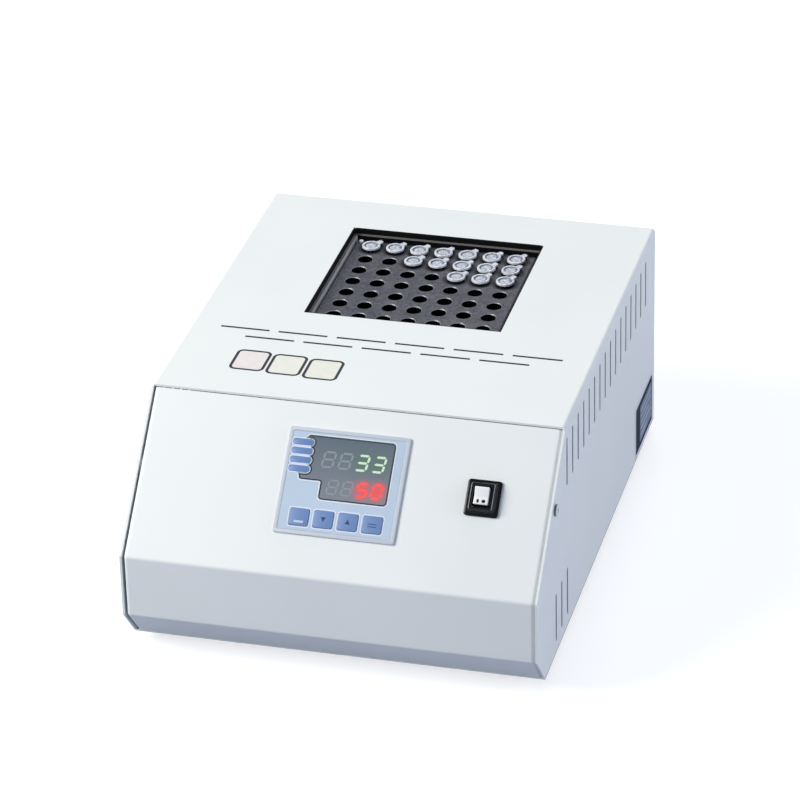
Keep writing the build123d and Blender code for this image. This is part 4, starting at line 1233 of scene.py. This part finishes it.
pivot = (off_switch @ rocker_axis).z / MM
tilt = math.radians(abs(joints["rocker_tilt"]["range_deg"][0]) / 2)
rocker_at_rest = switch @ moved(0, 0, pivot) @ Matrix.Rotation(tilt, 4, "X")
rocker_side = rounded(
    [
        (ROCKER_LOW, ROCKER_ROOT),
        (ROCKER_HIGH, ROCKER_ROOT),
        (ROCKER_HIGH, ROCKER_CREST),
        (0, ROCKER_VALLEY),
        (ROCKER_LOW, ROCKER_CREST),
    ],
    [0.4, 0.4, 0.8, 2.0, 0.8],
    steps=6,
)
standing = rocker_at_rest @ frame_at((0, 0, 0), (0, 1, 0), (1, 0, 0))
rocker = plate("rocker", [rocker_side], -ROCKER_HALF, ROCKER_HALF, standing, edge=0.35, steps=3)
piece("rocker_cap", rocker, "rocker_plastic", ROCKER_WHITE, body="rocker", replaces=["switch_rocker"])
low_rise = (ROCKER_CREST - ROCKER_VALLEY) / ROCKER_LOW
low_face = rocker_at_rest @ moved(0, MARK_AT, ROCKER_VALLEY + low_rise * MARK_AT)
low_face = low_face @ Matrix.Rotation(math.atan(low_rise), 4, "X")
marks = [
    plate("mark", [rectangle(width, height, corner, (x, 0))], MARK_LOW, MARK_HIGH, low_face)
    for width, height, corner, x in ((1.5, 2.5, 0.74, -1.9), (2.6, 2.3, 1.14, 1.9))
]
piece("rocker_marks", joined("marks", marks), "rocker_plastic", LINE_BLACK, body="rocker")


# ---------------------------------------------------------------- Outer screws, feet and plates

REAR_HEAD, BASE_HEAD, FOOT_HEAD, INLET_HEAD = (3.2, 1.3), (3.2, 1.5), (3.4, 1.6), (3.0, 1.3)


def both_ends(low, high, inset):
    """A place near each end of a length."""
    return low + inset, high - inset


def spots_at(xs, ys, z, way):
    """Places at one height, for every x and y, each with the same way out."""
    return [((x, y, z), way) for x in xs for y in ys]


side_low, side_high = box_mm("side_screws")
side_mid = (side_low + side_high) / 2
cross_heads(
    "side_screw_heads",
    ((side_high.y - side_low.y) / 2, side_high.x - cover_high.x),
    (0, 0.6, 0.8),
    [((x, side_mid.y, side_mid.z), (way, 0, 0)) for way, x in ((-1, cover_low.x), (1, cover_high.x))],
    replaces=["side_screws"],
)

REAR_SIDE_INSET, REAR_LOW, REAR_HIGH, REAR_TOP = 7, 32, 36, 7.5
rear_spots = [
    (x, cover_high.y, z)
    for x in both_ends(cover_low.x, cover_high.x, REAR_SIDE_INSET)
    for z in (cover_low.z + REAR_LOW, cover_high.z - REAR_HIGH)
]
rear_spots.append((0, cover_high.y, cover_high.z - REAR_TOP))
cross_heads("rear_screws", REAR_HEAD, (0.3, 0, 0.95), [(spot, (0, 1, 0)) for spot in rear_spots])

BASE_INSET, BASE_END = 9, 14
base_low, base_high = box_mm("base_plate")
base_xs = both_ends(base_low.x, base_high.x, BASE_INSET)
base_ys = (*both_ends(base_low.y, base_high.y, BASE_END), (base_low.y + base_high.y) / 2)
base_spots = spots_at(base_xs, base_ys, base_low.z, (0, 0, -1))
cross_heads("base_screws", BASE_HEAD, (0.8, 0.6, 0), base_spots)

feet_low, feet_high = box_mm("rubber_feet")
FOOT_RADIUS, FOOT_RECESS, FOOT_RECESS_TOP = 10.0, 4.2, 3.4
foot_profile = [
    (0, feet_high.z),
    (FOOT_RADIUS, feet_high.z),
    (FOOT_RADIUS - 0.1, feet_high.z - 0.6),
    (8.65, 0.9),
    (8.3, 0.25),
    (7.6, 0.0),
    (FOOT_RECESS + 0.4, 0.0),
    (FOOT_RECESS + 0.1, 0.2),
    (FOOT_RECESS, FOOT_RECESS_TOP),
    (0, FOOT_RECESS_TOP),
]
foot_xs = both_ends(feet_low.x, feet_high.x, FOOT_RADIUS)
foot_ys = both_ends(feet_low.y, feet_high.y, FOOT_RADIUS)
foot_spots = spots_at(foot_xs, foot_ys, FOOT_RECESS_TOP, (0, 0, -1))
feet = [turned(foot_profile, 48, "foot", moved(x, y)) for (x, y, _), _ in foot_spots]
piece("turned_feet", joined("feet", feet), "foot_rubber", RUBBER, replaces=["rubber_feet"])
cross_heads("foot_screws", FOOT_HEAD, (0.6, 0.8, 0), foot_spots)

RATING_Y, RATING_Z, RATING_CORNER, FIELD_X = 151.5, 31.0, 1.6, 5.0
LINE_LENGTHS, LINE_WIDTH, LINE_TOP, LINE_PITCH = (34, 34, 27, 34, 20), 0.9, 9.6, 4.8
rating_at = frame_at((cover_high.x, RATING_Y, RATING_Z), (0, 1, 0), (1, 0, 0))
lines_left = FIELD_X - LINE_LENGTHS[0] / 2
ruled = [
    rectangle(length, LINE_WIDTH, 0.3, (lines_left + length / 2, LINE_TOP - LINE_PITCH * k))
    for k, length in enumerate(LINE_LENGTHS)
]
for name, outlines, height, material in (
    ("rating_plate_edge", [rectangle(62, 42, RATING_CORNER)], 0.15, PLATE_PALE),
    ("rating_plate", [rectangle(55, 36, RATING_CORNER)], 0.4, PLATE_DARK),
    ("rating_plate_field", [rectangle(40, 28, RATING_CORNER, (FIELD_X, 0))], 0.5, PLATE_FIELD),
    ("rating_plate_lines", ruled, 0.55, PLATE_LINE),
):
    piece(name, plate(name, outlines, -0.3, height, rating_at), "face_plastic", material)


# ---------------------------------------------------------------- Power inlet

INLET_FLANGE, INLET_DEPTH, SOCKET_FLOOR = 3.0, 21.0, 13.0
INLET_WIDTH, INLET_HEIGHT = 27.6, 21.0
EAR_RADIUS, EAR_BORE, EARS = 5.0, 3.4, (-20.0, 20.0)
SOCKET_WIDTH, SOCKET_HEIGHT, SOCKET_CUT = 24.4, 16.8, 4.5
INLET_SCREW_SINK = 1.4


def inlet_mesh(place):
    """Appliance inlet: an eared flange with bored ears, a socket with two cut corners and its floor."""
    reach = rectangle(INLET_WIDTH + INLET_FLANGE, INLET_HEIGHT + INLET_FLANGE, 1.0)
    for x in EARS:
        reach += circle(EAR_RADIUS, x)
    flange = [reach[k] for k in convex_hull_2d([Vector(point) for point in reach])]
    w, h = SOCKET_WIDTH / 2, SOCKET_HEIGHT / 2
    across, down = w - SOCKET_CUT, h - SOCKET_CUT
    mouth = rounded([(w, down), (across, h), (-across, h), (-w, down), (-w, -h), (w, -h)], 0.8)
    body = rectangle(INLET_WIDTH, INLET_HEIGHT, 0.6)
    bores = [circle(EAR_BORE, x) for x in EARS]
    return joined("inlet", [
        plate("flange", [flange, mouth, *bores], 0, INLET_FLANGE, place, edge=0.45, steps=3),
        plate("walls", [body, mouth], -SOCKET_FLOOR, 0.3, place),
        plate("back", [body], -INLET_DEPTH, 0.1 - SOCKET_FLOOR, place),
    ])


inlet_low, inlet_high = box_mm("power_inlet")
inlet_mid = (inlet_low + inlet_high) / 2
inlet_at = frame_at((inlet_mid.x, inlet_high.y - INLET_FLANGE, inlet_mid.z), (-1, 0, 0), (0, 1, 0))
piece("mains_inlet", inlet_mesh(inlet_at), SLOT_OF["power_inlet"], BLACK_MATT, replaces=["power_inlet"])
ear_xs = [inlet_mid.x + x for x in EARS]
ear_spots = spots_at(ear_xs, [inlet_high.y - INLET_SCREW_SINK], inlet_mid.z, (0, 1, 0))
cross_heads("inlet_screws", INLET_HEAD, (0.5, 0, 0.87), ear_spots)


# ---------------------------------------------------------------- Stage, light and camera

FLOOR_SIZE, FLOOR_CORNER, FLOOR_SHEET = 14000, 100, 20
floor_outline = rectangle(FLOOR_SIZE, FLOOR_SIZE, FLOOR_CORNER)
floor_mesh = plate("floor", [floor_outline], -FLOOR_SHEET, 0, Matrix.Identity(4))
for polygon in floor_mesh.polygons:
    polygon.use_smooth = False
floor_mesh.materials.append(floor_finish())
floor = bpy.data.objects.new("studio_floor", floor_mesh)
bpy.context.scene.collection.objects.link(floor)

# Each soft box: its place, size, power and colour. All of them aim a little above the object's foot.
AIM = Vector((0, 0, 0.1))
for name, place, size, power, colour in (
    ("key_box", (-1.75, -1.1, 1.55), 1.2, 60, (1.0, 0.975, 0.92)),
    ("rear_box", (0.1, 1.5, 1.9), 0.8, 14.5, (1.0, 0.97, 0.91)),
    ("side_box", (2.1, -0.1, 0.7), 1.4, 15, (0.89, 0.93, 1.06)),
):
    light = bpy.data.lights.new(name, "AREA")
    light.shape = "SQUARE"
    light.size = size
    light.energy = power
    light.color = colour
    holder = bpy.data.objects.new(name, light)
    bpy.context.scene.collection.objects.link(holder)
    holder.location = place
    holder.rotation_euler = (AIM - Vector(place)).to_track_quat("-Z", "Y").to_euler()

world = bpy.data.worlds.new("studio_air")
bpy.context.scene.world = world
sky = Finish(world)
air = sky.node("Background", None, {"Color": tone(212, 226, 246), "Strength": 0.36})
white = sky.node("Background", None, {"Color": tone(255, 255, 255)})
seen = sky.seen_by("Camera", "Transmission")
sky.done(sky.node("MixShader", None, {0: seen, 1: air, 2: white}), "OutputWorld")

AZIMUTH, ELEVATION, ROLL = (math.radians(angle) for angle in (15.236, 28.987, -1.494))
DISTANCE, TARGET = 2.8434, Vector((-0.01344, 0.05413, 0.0780))
LENS, SENSOR, FAR_CLIP = 183.6, 36, 30
back = Vector((
    math.sin(AZIMUTH) * math.cos(ELEVATION),
    -math.cos(AZIMUTH) * math.cos(ELEVATION),
    math.sin(ELEVATION),
))
level = (-back).cross(Vector((0, 0, 1))).normalized()
upright = level.cross(-back)
right = math.cos(ROLL) * level + math.sin(ROLL) * upright
up = -math.sin(ROLL) * level + math.cos(ROLL) * upright
placed = Matrix((right, up, back)).transposed().to_4x4()
placed.translation = TARGET + back * DISTANCE
camera = bpy.data.objects.new("camera", bpy.data.cameras.new("camera"))
bpy.context.scene.collection.objects.link(camera)
camera.matrix_world = placed
camera.data.sensor_width = SENSOR
camera.data.lens = LENS
camera.data.clip_end = FAR_CLIP
bpy.context.scene.camera = camera
bpy.context.scene.view_settings.view_transform = "Standard"
